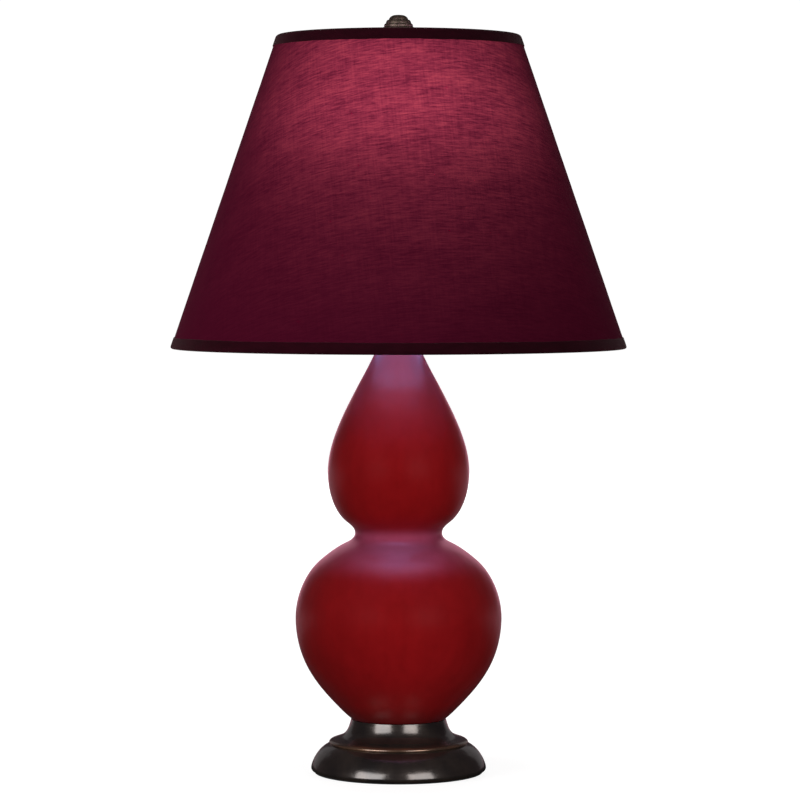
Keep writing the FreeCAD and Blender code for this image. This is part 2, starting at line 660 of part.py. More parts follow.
# Two equal terminal screws, one on each flat of the interior.
screws = new_body("terminal_screws")
sk = new_sketch(screws, "head_profile", "YZ_Plane", "11.65")
ring(sk, 0, "inner_low_z + 5.6", 3.4)
pad(screws, "heads", sk, 1.8)
sk = new_sketch(screws, "slot_profile", "YZ_Plane", "13.45")
polygon(sk, [(-4.0, "inner_low_z + 5.2"), (4.0, "inner_low_z + 5.2"), (4.0, "inner_low_z + 6.0"), (-4.0, "inner_low_z + 6.0")])
pocket(screws, "slots", sk, 0.9)
screws.Label = "terminal_screw_right"
pair = doc.addObject("Part::Mirroring", "terminal_screw_left")
pair.Source = screws
pair.Normal = Vector(1, 0, 0)
pair.Base = Vector(0, 0, 0)
both = doc.addObject("Part::Compound", "terminal_screws")
both.Links = [screws, pair]
both.Label = "terminal_screws"
made.append(both)

# Switch: shaft running in the interior, knob pressed on its outer end.
shaft = new_body("switch_shaft")
sk = new_sketch(shaft, "rod_profile", "XZ_Plane", "5.0")
ring(sk, 0, "switch_z", "shaft_rad")
pad(shaft, "rod", sk, "knob_far - 9.0")
made.append(shaft)

knob = new_body("switch_knob")
sk = new_sketch(knob, "body_profile", "XZ_Plane", "knob_near")
ring(sk, 0, "switch_z", "knob_rad")
pad(knob, "barrel", sk, "knob_far - knob_near")
sk = new_sketch(knob, "hole_profile", "XZ_Plane", "knob_near")
ring(sk, 0, "switch_z", "shaft_rad")
pocket(knob, "hole", sk, "knob_far - knob_near - 4.0", reverse=True)
round_edges(knob, "crown", 1.0, lambda e: isinstance(e.Curve, Part.Circle) and abs(e.Curve.Radius - num("knob_rad")) < 0.01)
sk = new_sketch(knob, "flute_profile", "XZ_Plane", "knob_near")
ring(sk, 0, "switch_z + knob_rad + 0.55", 0.95)
flute = pocket(knob, "flute", sk, "knob_far - knob_near", reverse=True)
# a datum line along the shaft carries the flutes round the knob
axis_line = knob.newObject("PartDesign::Line", "switch_knob_axis")
axis_line.AttachmentSupport = [(plane_of(knob, "XY_Plane"), "")]
axis_line.MapMode = "Deactivated"
axis_line.Placement = Placement(Vector(0, 0, num("switch_z")), Rotation(Vector(0, 0, 1), Vector(0, -1, 0)))
flutes = knob.newObject("PartDesign::PolarPattern", "switch_knob_flutes")
flutes.Originals = [flute]
flutes.Axis = (axis_line, [""])
flutes.Angle = 360
flutes.Occurrences = 18
knob.Tip = flutes
doc.recompute()
made.append(knob)

# ================================================================ harp
harp = new_body("harp_wire")
path = new_sketch(harp, "half_path")
x0, z0, z1 = num("harp_leg_x"), num("harp_low_z"), num("harp_leg_top")
ra, rb, rc = num("harp_bend_a"), num("harp_bend_b"), num("harp_bend_c")
flat, top = num("harp_flat"), num("harp_top_z")


def harp_points(alpha, beta):
    p1 = Vector(x0 + ra - ra * math.cos(alpha), z1 + ra * math.sin(alpha), 0)
    c2 = p1 + Vector(-rb * math.cos(alpha), rb * math.sin(alpha), 0)
    c2 = Vector(p1.x - rb * math.cos(alpha), p1.y + rb * math.sin(alpha), 0)
    th = alpha - beta
    p2 = Vector(c2.x + rb * math.cos(th), c2.y - rb * math.sin(th), 0)
    c3 = Vector(p2.x - rc * math.cos(th), p2.y + rc * math.sin(th), 0)
    return p1, c2, p2, c3


# the two bend angles that bring the shoulder to the straight top (Newton steps on the two end coordinates)
alpha, beta = math.radians(32.75), math.radians(68.17)
for _ in range(30):
    def miss(a, b):
        c3 = harp_points(a, b)[3]
        return c3.x - flat, c3.y + rc - top
    f0, g0 = miss(alpha, beta)
    d = 1e-6
    fa, ga = miss(alpha + d, beta)
    fb, gb = miss(alpha, beta + d)
    j11, j21, j12, j22 = (fa - f0) / d, (ga - g0) / d, (fb - f0) / d, (gb - g0) / d
    det = j11 * j22 - j12 * j21
    alpha -= (f0 * j22 - g0 * j12) / det
    beta -= (g0 * j11 - f0 * j21) / det
p1, c2, p2, c3 = harp_points(alpha, beta)
c1 = Vector(x0 + ra, z1, 0)


def on(centre, radius, angle):
    return Vector(centre.x + radius * math.cos(angle), centre.y + radius * math.sin(angle), 0)


leg = path.addGeometry(Part.LineSegment(Vector(x0, z0, 0), Vector(x0, z1, 0)), False)
arc_a = path.addGeometry(Part.Arc(Vector(x0, z1, 0), on(c1, ra, math.pi - alpha / 2), p1), False)
arc_b = path.addGeometry(Part.Arc(p1, on(c2, rb, -alpha + beta / 2), p2), False)
th3 = beta - alpha
arc_c = path.addGeometry(Part.Arc(p2, on(c3, rc, (th3 + math.pi / 2) / 2), Vector(c3.x, c3.y + rc, 0)), False)
bar = path.addGeometry(Part.LineSegment(Vector(c3.x, top, 0), Vector(0, top, 0)), False)


def ends(geo, p):
    return (1, 2) if (path.getPoint(geo, 1) - p).Length < (path.getPoint(geo, 2) - p).Length else (2, 1)


ea = ends(arc_a, Vector(x0, z1, 0))
eb = ends(arc_b, p1)
ec = ends(arc_c, p2)
path.addConstraint(Sketcher.Constraint("Tangent", leg, 2, arc_a, ea[0]))
path.addConstraint(Sketcher.Constraint("Tangent", arc_a, ea[1], arc_b, eb[0]))
path.addConstraint(Sketcher.Constraint("Tangent", arc_b, eb[1], arc_c, ec[0]))
path.addConstraint(Sketcher.Constraint("Tangent", arc_c, ec[1], bar, 1))
path.addConstraint(Sketcher.Constraint("Vertical", leg))
path.addConstraint(Sketcher.Constraint("Horizontal", bar))
hold_point(path, leg, 1, "harp_leg_x", "harp_low_z")
dimension(path, "DistanceY", (-1, 1, leg, 2), "harp_leg_top")
dimension(path, "Radius", (arc_a,), "harp_bend_a")
dimension(path, "Radius", (arc_b,), "harp_bend_b")
dimension(path, "Radius", (arc_c,), "harp_bend_c")
dimension(path, "DistanceX", (-1, 1, bar, 1), "harp_flat")
dimension(path, "DistanceY", (-1, 1, bar, 1), "harp_top_z")
path.addConstraint(Sketcher.Constraint("PointOnObject", bar, 2, -2))
section = new_sketch(harp, "wire_section", "XY_Plane", "harp_low_z")
ring(section, "harp_leg_x", 0, "harp_wire_rad")
doc.recompute()
half = harp.newObject("PartDesign::AdditivePipe", "harp_wire_half")
half.Profile = section
half.Spine = path
half.Mode = "Frenet"
harp.Tip = half
doc.recompute()
wire = harp.newObject("PartDesign::Mirrored", "harp_wire_mirrored")
wire.Originals = [half]
wire.MirrorPlane = (plane_of(harp, "YZ_Plane"), [""])
harp.Tip = wire
doc.recompute()
made.append(harp)


# Ferrules: short tubes that lock each leg to its ear.
def ferrule(label, side):
    body = new_body(label)
    sk = new_sketch(body, "tube_profile", "XY_Plane", "ferrule_low_z")
    x = "ferrule_x" if side > 0 else "-ferrule_x"
    ring(sk, x, 0, "ferrule_rad")
    ring(sk, x, 0, "ferrule_bore")
    pad(body, "tube", sk, "ferrule_len")
    round_edges(body, "rims", 0.35, lambda e: isinstance(e.Curve, Part.Circle) and abs(e.Curve.Radius - num("ferrule_rad")) < 0.01)
    return body


made.append(ferrule("harp_ferrule_right", 1))
made.append(ferrule("harp_ferrule_left", -1))

# Rest plate with the threaded stud; the wire passes through a cross hole in its barrel.
stud = lathe("harp_stud", [
    (0, "harp_top_z - 4.6"), (4.2, "harp_top_z - 4.6"), (4.6, "harp_top_z - 4.2"), (4.6, "plate_top_z - 2.5"),
    ("plate_rad", "plate_top_z - 2.0"), ("plate_rad", "plate_top_z"), ("stud_rad", "plate_top_z"),
    ("stud_rad", "stud_top_z - 0.6"), ("stud_rad - 0.6", "stud_top_z"), (0, "stud_top_z")])
sk = new_sketch(stud, "cross_profile", "YZ_Plane")
ring(sk, 0, "harp_top_z", "harp_wire_rad + 0.03")
pocket(stud, "cross_hole", sk, 30, midplane=True)
made.append(stud)

# ================================================================ finial
finial = new_body("finial")
revolve(finial, "turned", ("finial_bore", "finial_low_z"),
        [(8.0, "finial_low_z"), ("arc", (8.0, "finial_low_z + 2.4"), 1.3, -1),
         (6.0, "finial_low_z + 2.6"),
         ("arc", (6.2, "finial_low_z + 7.6"), 4.6, 1),
         ("arc", ("finial_rad - 0.2", "finial_low_z + 14.0"), 9.6, -1),
         ("arc", ("finial_rad - 1.0", "finial_low_z + 17.9"), 3.4, -1),
         ("finial_rad - 1.35", "finial_low_z + 18.1"),
         ("arc", ("finial_rad - 2.2", "finial_low_z + 20.4"), 2.9, -1),
         ("finial_rad - 2.75", "finial_low_z + 20.6"),
         ("arc", ("finial_rad - 4.1", "finial_low_z + 23.2"), 3.4, -1),
         ("finial_rad - 5.0", "finial_low_z + 23.45"),
         ("curve", [("finial_rad - 5.0", "finial_low_z + 23.45"), ("finial_rad - 5.5", "finial_top_z - 2.2"),
                    ("finial_rad - 6.9", "finial_top_z - 0.9"), ("finial_rad - 9.1", "finial_top_z"),
                    (0, "finial_top_z")]),
         (0, "finial_bore_top"), ("finial_bore", "finial_bore_top"), ("finial_bore", "finial_low_z")])
made.append(finial)

# ================================================================ shade
# The shade is a straight cone. Layers are measured level, from the outside in.
LEAN = (num("shade_low_rad") - num("shade_top_rad")) / (num("shade_top_z") - num("shade_low_z"))


def cone(rise_low=None, rise_top=None, depth="0"):
    """Point of the shade's wall a given rise above the lower edge (or drop below the upper edge), a depth inside."""
    if rise_low is not None:
        return ("shade_low_rad - %.5f - %s" % (LEAN * num(rise_low), depth), "shade_low_z + " + rise_low)
    return ("shade_top_rad + %.5f - %s" % (LEAN * num(rise_top), depth), "shade_top_z - " + rise_top)


made.append(lathe("shade_fabric", [
    cone(rise_low="0.7", depth="trim_thk"), cone(rise_top="0.7", depth="trim_thk"),
    cone(rise_top="0.7", depth="trim_thk - fabric_thk"), cone(rise_low="0.7", depth="trim_thk - fabric_thk")]))
made.append(lathe("shade_liner", [
    cone(rise_low="0.7", depth="trim_thk - fabric_thk"), cone(rise_top="0.7", depth="trim_thk - fabric_thk"),
    cone(rise_top="0.7", depth="trim_thk - fabric_thk - liner_thk"),
    cone(rise_low="0.7", depth="trim_thk - fabric_thk - liner_thk")]))

# Trim tapes: folded over each rim and its ring, a broad leg outside and a short leg inside.
FOLD = "trim_thk - fabric_thk - liner_thk - 2.15*ring_rad"
made.append(lathe("shade_bottom_trim", [
    cone(rise_low="0.0"), cone(rise_low="trim_wide"), cone(rise_low="trim_wide", depth="trim_thk"),
    cone(rise_low="0.65", depth="trim_thk"), cone(rise_low="0.65", depth=FOLD), cone(rise_low="trim_turn", depth=FOLD),
    cone(rise_low="trim_turn", depth=FOLD + " - trim_thk"), cone(rise_low="0.0", depth=FOLD + " - trim_thk")]))
made.append(lathe("shade_top_trim", [
    cone(rise_top="0.0"), cone(rise_top="0.0", depth=FOLD + " - trim_thk"),
    cone(rise_top="trim_turn", depth=FOLD + " - trim_thk"), cone(rise_top="trim_turn", depth=FOLD),
    cone(rise_top="0.65", depth=FOLD), cone(rise_top="0.65", depth="trim_thk"),
    cone(rise_top="trim_wide", depth="trim_thk"), cone(rise_top="trim_wide")]))


# Ring wires in the folds of the tapes.
def wire_ring(label, major, height):
    torus = doc.addObject("Part::Torus", label)
    torus.Label = label
    torus.Radius1 = num(major)
    torus.setExpression("Radius1", bound(major))
    torus.Radius2 = num("ring_rad")
    torus.setExpression("Radius2", bound("ring_rad"))
    torus.Placement = Placement(Vector(0, 0, num(height)), Rotation())
    torus.setExpression("Placement.Base.z", bound(height))
    return torus


IN = "trim_thk - fabric_thk - liner_thk - 1.075*ring_rad"
made.append(wire_ring("shade_bottom_ring", "shade_low_rad - %.5f - %s" % (LEAN * 2.3, IN), "shade_low_z + 2.3"))
made.append(wire_ring("shade_top_ring", "shade_top_rad + %.5f - %s" % (LEAN * 2.3, IN), "shade_top_z - 2.3"))

# Spider: a flat hub under the finial and three arms up to the top ring.
spider = lathe("shade_spider", [
    ("hub_hole", "hub_low_z"), ("hub_out", "hub_low_z"), ("hub_out", "hub_low_z + hub_thk"),
    ("hub_hole", "hub_low_z + hub_thk")])
arm_path = new_sketch(spider, "arm_path")
arm_z = "hub_low_z + 0.5*hub_thk"
a0 = Vector(num("hub_out - 1.6"), num(arm_z), 0)
a1 = Vector(num("arm_bend_x"), num(arm_z), 0)
a2 = Vector(num("arm_end_x"), num("arm_end_z"), 0)
run = arm_path.addGeometry(Part.LineSegment(a0, a1), False)
rise = arm_path.addGeometry(Part.LineSegment(a1, a2), False)
arm_path.addConstraint(Sketcher.Constraint("Coincident", run, 2, rise, 1))
hold_point(arm_path, run, 1, "hub_out - 1.6", arm_z)
hold_point(arm_path, run, 2, "arm_bend_x", arm_z)
hold_point(arm_path, rise, 2, "arm_end_x", "arm_end_z")
arm_section = new_sketch(spider, "arm_section", "YZ_Plane", "hub_out - 1.6")
ring(arm_section, 0, arm_z, "spider_rad")
doc.recompute()
arm = spider.newObject("PartDesign::AdditivePipe", "shade_spider_arm")
arm.Profile = arm_section
arm.Spine = arm_path
arm.Transition = "Round corner"
spider.Tip = arm
doc.recompute()
arms = spider.newObject("PartDesign::PolarPattern", "shade_spider_arms")
arms.Originals = [arm]
z_axis = [o for o in spider.Origin.OriginFeatures if o.Role == "Z_Axis"][0]
arms.Axis = (z_axis, [""])
arms.Angle = 360
arms.Occurrences = 3
spider.Tip = arms
doc.recompute()
made.append(spider)

# ================================================================ bulb
glass = new_body("bulb_glass")
glass_in = inner_poles("glass", "bulb_wall")
glass_in[-1] = ("0", "glass_hgt_10p - bulb_wall")
glass_in[-2] = ("glass_rad_09p", "glass_hgt_09p - bulb_wall")
revolve(glass, "blown", ("glass_rad_00p - bulb_wall", "bulb_cap_low + 4.0"),
        [("glass_rad_00p", "bulb_cap_low + 4.0"), ("glass_rad_00p", "glass_hgt_00p"),
         ("curve", poles_of("glass")), ("0", "glass_hgt_10p - bulb_wall"),
         ("curve", list(reversed(glass_in[1:])) + [("glass_rad_00p - bulb_wall", "glass_hgt_00p + 0.4")]),
         ("glass_rad_00p - bulb_wall", "bulb_cap_low + 4.0")])
made.append(glass)

made.append(lathe("bulb_cap", [
    ("bulb_cap_rad - 0.6", "bulb_cap_low"), ("bulb_cap_rad", "bulb_cap_low"), ("bulb_cap_rad", "bulb_cap_top - 1.0"),
    ("bulb_cap_rad - 0.2", "bulb_cap_top"), ("bulb_cap_rad - 0.6", "bulb_cap_top")]))
made.append(lathe("bulb_insulator", [
    (4.6, "bulb_tip_z + 0.6"), ("bulb_cap_rad - 5.0", "bulb_tip_z + 0.9"), ("bulb_cap_rad - 0.6", "bulb_cap_low"),
    ("bulb_cap_rad - 0.6", "bulb_cap_low + 1.6"), (2.0, "bulb_cap_low + 1.6"), (2.0, "bulb_tip_z + 1.6"),
    (4.6, "bulb_tip_z + 1.6")]))
made.append(lathe("bulb_tip_contact", [
    (0, "bulb_tip_z"), (3.6, "bulb_tip_z"), (4.55, "bulb_tip_z + 0.7"), (4.55, "bulb_tip_z + 1.6"), (0, "bulb_tip_z + 1.6")]))

# Glass stem with its two lead wires.
stem = lathe("bulb_stem", [
    (0, "bulb_cap_low + 5.0"), (11.2, "bulb_cap_low + 5.0"), (9.0, "bulb_cap_low + 12.0"), (4.0, "bulb_cap_low + 20.0"),
    (3.6, "bulb_cap_low + 40.0"), (1.6, "bulb_cap_low + 44.0"), (1.6, "bulb_cap_low + 52.0"), (0, "bulb_cap_low + 53.0")])
sk = new_sketch(stem, "lead_profile", "XY_Plane", "bulb_cap_low + 36.0")
ring(sk, 3.0, 0, 0.5)
ring(sk, -3.0, 0, 0.5)
pad(stem, "leads", sk, 34.4)
made.append(stem)

# Filament: an arc between the leads' ends.
coil = new_body("bulb_filament")
coil_path = new_sketch(coil, "path")
arc = coil_path.addGeometry(Part.Arc(Vector(3.0, num("bulb_cap_low + 70.4"), 0), Vector(0, num("bulb_cap_low + 74.9"), 0),
                                     Vector(-3.0, num("bulb_cap_low + 70.4"), 0)), False)
ea = (1, 2) if coil_path.getPoint(arc, 1).x > 0 else (2, 1)
hold_point(coil_path, arc, ea[0], 3.0, "bulb_cap_low + 70.4")
hold_point(coil_path, arc, ea[1], -3.0, "bulb_cap_low + 70.4")
dimension(coil_path, "Radius", (arc,), 3.25)
coil_section = new_sketch(coil, "section", "XY_Plane", "bulb_cap_low + 70.4")
ring(coil_section, 3.0, 0, 0.35)
doc.recompute()
bow = coil.newObject("PartDesign::AdditivePipe", "bulb_filament_bow")
bow.Profile = coil_section
bow.Spine = coil_path
bow.Mode = "Frenet"
coil.Tip = bow
doc.recompute()
made.append(coil)

# ================================================================ tests and export
doc.recompute()
for item in doc.Objects:
    bad = [s for s in item.State if s in ("Invalid", "Error")]
    if bad:
        raise RuntimeError("%s is %s" % (item.Label, bad))
names = [m.Label for m in made]
if len(set(names)) != len(names):
    raise RuntimeError("two pieces share a name")
for m in made:
    s = m.Shape
    if s.isNull() or not s.isValid() or not s.Solids:
        raise RuntimeError("bad shape: " + m.Label)
os.makedirs("parts", exist_ok=True)
for m in made:
    m.Shape.exportStep("parts/%s.step" % m.Label)
    b = m.Shape.BoundBox
    print("%-22s solids %d  volume %10.1f  x %.2f..%.2f  y %.2f..%.2f  z %.2f..%.2f" % (
        m.Label, len(m.Shape.Solids), m.Shape.Volume, b.XMin, b.XMax, b.YMin, b.YMax, b.ZMin, b.ZMax))
print("pieces", len(made))
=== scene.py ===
import json
import math

import bpy
import numpy as np
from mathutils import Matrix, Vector

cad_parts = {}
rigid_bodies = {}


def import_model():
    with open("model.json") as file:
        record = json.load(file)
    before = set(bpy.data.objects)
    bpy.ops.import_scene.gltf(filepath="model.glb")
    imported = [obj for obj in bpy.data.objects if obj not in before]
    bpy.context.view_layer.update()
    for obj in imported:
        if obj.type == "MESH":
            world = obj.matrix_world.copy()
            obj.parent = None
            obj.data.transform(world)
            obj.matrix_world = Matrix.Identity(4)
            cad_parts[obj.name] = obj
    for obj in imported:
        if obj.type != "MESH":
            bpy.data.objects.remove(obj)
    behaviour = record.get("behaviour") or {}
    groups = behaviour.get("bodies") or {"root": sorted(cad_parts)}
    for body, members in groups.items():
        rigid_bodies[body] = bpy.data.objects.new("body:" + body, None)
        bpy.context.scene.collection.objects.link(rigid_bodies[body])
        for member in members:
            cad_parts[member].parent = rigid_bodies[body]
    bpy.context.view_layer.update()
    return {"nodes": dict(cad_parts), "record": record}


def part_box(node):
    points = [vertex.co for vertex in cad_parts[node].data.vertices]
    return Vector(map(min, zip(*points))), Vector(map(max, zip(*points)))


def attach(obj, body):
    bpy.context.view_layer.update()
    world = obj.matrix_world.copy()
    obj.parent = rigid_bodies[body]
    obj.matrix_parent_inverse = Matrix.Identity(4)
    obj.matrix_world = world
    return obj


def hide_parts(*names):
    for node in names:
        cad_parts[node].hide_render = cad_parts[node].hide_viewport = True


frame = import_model()
NODES = frame["nodes"]

# Everything below is drawn in millimetres, as the CAD is, and scaled once when a mesh is made.
MM = 0.001
LEAN = 0.341597  # the shade's wall moves in by this much for each mm of height
SLOPE = math.atan(LEAN)
EDGE_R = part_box("shade_bottom_trim")[1].x / MM
EDGE_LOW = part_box("shade_bottom_trim")[0].z / MM
EDGE_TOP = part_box("shade_top_trim")[1].z / MM
FRONT = math.radians(-90)
CUT_MIDDLE = FRONT + math.radians(18)  # where the weave runs level, at the middle of the flat cut
SEAM = CUT_MIDDLE + math.pi


# ---------------------------------------------------------------- curves and meshes
def spline(poles, per=8):
    """Points of the clamped uniform cubic B-spline with these poles, as the CAD's sketches have it."""
    p = [np.array(q, float) for q in poles]
    n = len(p)
    knots = [0.0] * 3 + [float(k) for k in range(n - 2)] + [float(n - 3)] * 3
    points = []
    for t in np.linspace(0, n - 3, (n - 3) * per + 1):
        k = min(int(t), n - 4) + 3
        d = [p[j + k - 3] for j in range(4)]
        for r in range(1, 4):
            for j in range(3, r - 1, -1):
                i = j + k - 3
                a = (t - knots[i]) / (knots[i + 4 - r] - knots[i])
                d[j] = (1 - a) * d[j - 1] + a * d[j]
        points.append((float(d[3][0]), float(d[3][1])))
    return points


def rounded(corners, closed=False, steps=5):
    """A polyline through corners (x, y) or (x, y, fillet radius), with those corners rounded."""
    out = []
    n = len(corners)
    for i, c in enumerate(corners):
        here = Vector(c[:2])
        radius = c[2] if len(c) > 2 else 0.0
        if radius <= 0 or (not closed and i in (0, n - 1)):
            out.append((here.x, here.y))
            continue
        before, after = Vector(corners[i - 1][:2]), Vector(corners[(i + 1) % n][:2])
        a, b = (before - here).normalized(), (after - here).normalized()
        half = a.angle(b) / 2
        back = radius / math.tan(half)
        middle = here + (a + b).normalized() * radius / math.sin(half)
        start, end = here + a * back, here + b * back
        a0 = math.atan2(start.y - middle.y, start.x - middle.x)
        a1 = math.atan2(end.y - middle.y, end.x - middle.x)
        turn = (a1 - a0 + math.pi) % (2 * math.pi) - math.pi
        for k in range(steps + 1):
            t = a0 + turn * k / steps
            out.append((middle.x + radius * math.cos(t), middle.y + radius * math.sin(t)))
    return out


def arc(centre, radius, start, end, steps=8):
    """Points of an arc, angles in degrees."""
    return [
        (
            centre[0] + radius * math.cos(math.radians(start + (end - start) * k / steps)),
            centre[1] + radius * math.sin(math.radians(start + (end - start) * k / steps)),
        )
        for k in range(steps + 1)
    ]


def bulge(a, b, radius, side, steps=8):
    """Points of the short arc of that radius from a to b. side is 1 if it bows to the left of the way from a to b, else -1."""
    a, b = Vector(a), Vector(b)
    chord = b - a
    normal = Vector((-chord.y, chord.x)).normalized() * side
    middle = (a + b) / 2 - normal * math.sqrt(max(radius**2 - chord.length_squared / 4, 0))
    a0 = math.atan2(a.y - middle.y, a.x - middle.x)
    a1 = math.atan2(b.y - middle.y, b.x - middle.x)
    turn = (a1 - a0 + math.pi) % (2 * math.pi) - math.pi
    return [
        (middle.x + radius * math.cos(a0 + turn * k / steps), middle.y + radius * math.sin(a0 + turn * k / steps))
        for k in range(steps + 1)
    ]


def join(*runs):
    """One profile from several runs of points, without doubled points."""
    out = []
    for run in runs:
        for p in run:
            if not out or math.hypot(p[0] - out[-1][0], p[1] - out[-1][1]) > 1e-4:
                out.append((float(p[0]), float(p[1])))
    return out


def even(points, step):
    """The same line with points about step apart, so that a lathe's rings are spaced evenly."""
    p = np.array(points, float)
    s = np.concatenate([[0], np.cumsum(np.hypot(*np.diff(p, axis=0).T))])
    n = max(2, int(round(s[-1] / step)) + 1)
    t = np.linspace(0, s[-1], n)
    return list(zip(np.interp(t, s, p[:, 0]).tolist(), np.interp(t, s, p[:, 1]).tolist()))


def mesh_object(name, vertices, faces, uvs=None, sharp_rings=None):
    me = bpy.data.meshes.new(name)
    me.from_pydata([tuple(float(c) * MM for c in v) for v in vertices], [], faces)
    if uvs is not None:
        layer = me.uv_layers.new(name="UVMap")
        layer.data.foreach_set("uv", np.array(uvs, np.float32).ravel())
    me.polygons.foreach_set("use_smooth", [True] * len(me.polygons))
    if sharp_rings is not None and (sharp_rings >= 0).any():
        ends = np.zeros(len(me.edges) * 2, int)
        me.edges.foreach_get("vertices", ends)
        a, b = sharp_rings[ends[0::2]], sharp_rings[ends[1::2]]
        me.edges.foreach_set("use_edge_sharp", ((a == b) & (a >= 0)).tolist())
    me.update()
    ob = bpy.data.objects.new(name, me)
    bpy.context.scene.collection.objects.link(ob)
    return ob


def lathe(name, profile, segments=192, closed=False, start=0.0, sweep=360.0, bend=None, sharp=32.0, flat=None):
    """Turns a profile of (radius, height) points round Z. A profile that runs upwards faces outwards. bend(i, r, z, angle) may move a point, and flat(r, z, angle) gives its UV in metres."""
    prof = np.array(profile, float)
    rows = len(prof)
    full = sweep >= 359.999 and sweep <= 360.001
    columns = segments if full else segments + 1
    angles = np.radians(start + sweep * np.arange(segments + 1) / segments)
    along = np.concatenate([[0], np.cumsum(np.hypot(*np.diff(prof, axis=0).T))])
    vertices, index, places = [], np.zeros((rows, segments + 1), int), {}
    for i, (r, z) in enumerate(prof):
        if not closed and i in (0, rows - 1) and abs(r) < 1e-6:
            index[i, :] = len(vertices)
            vertices.append((0.0, 0.0, z))
            continue
        for j in range(columns):
            rr, zz, aa = (r, z, angles[j]) if bend is None else bend(i, r, z, angles[j])
            index[i, j] = len(vertices)
            vertices.append((rr * math.cos(aa), rr * math.sin(aa), zz))
            places[i, j] = (rr, zz, aa)
        if full:
            index[i, segments] = index[i, 0]
    mean = float(np.abs(prof[:, 0]).max())
    faces, uvs = [], []

    def uv(i, j, wrapped):
        if flat is not None:
            r, z, a = places.get((i, j if not full or j < segments else 0), (*prof[i], angles[j]))
            return flat(r, z, a)
        v = along[i] if not wrapped else along[-1] + math.hypot(*(prof[0] - prof[-1]))
        return (angles[j] * mean * MM, v * MM)

    for i in range(rows if closed else rows - 1):
        k = (i + 1) % rows
        for j in range(segments):
            loop = [(i, j, False), (i, j + 1, False), (k, j + 1, k < i), (k, j, k < i)]
            seen, face = [], []
            for a, b, w in loop:
                v = int(index[a, b])
                if v not in seen:
                    seen.append(v)
                    face.append((a, b, w))
            if len(seen) > 2:
                faces.append(seen)
                uvs.extend(uv(a, b, w) for a, b, w in face)
    if not full and closed:
        for j, order in ((0, 1), (segments, -1)):
            ring = [int(index[i, j]) for i in range(rows)][::order]
            faces.append(ring)
            uvs.extend((prof[i][0] * MM, prof[i][1] * MM) for i in list(range(rows))[::order])
    rings = np.full(len(vertices), -1)
    for i in range(rows):
        if closed or 0 < i < rows - 1:
            a = prof[i] - prof[i - 1]
            b = prof[(i + 1) % rows] - prof[i]
            turn = abs(math.degrees((math.atan2(b[1], b[0]) - math.atan2(a[1], a[0]) + math.pi) % (2 * math.pi) - math.pi))
            if turn > sharp:
                rings[index[i, :]] = i
    return mesh_object(name, vertices, faces, uvs, rings)


def smooth_step(x, low, high):
    t = min(max((x - low) / (high - low), 0.0), 1.0)
    return t * t * (3 - 2 * t)


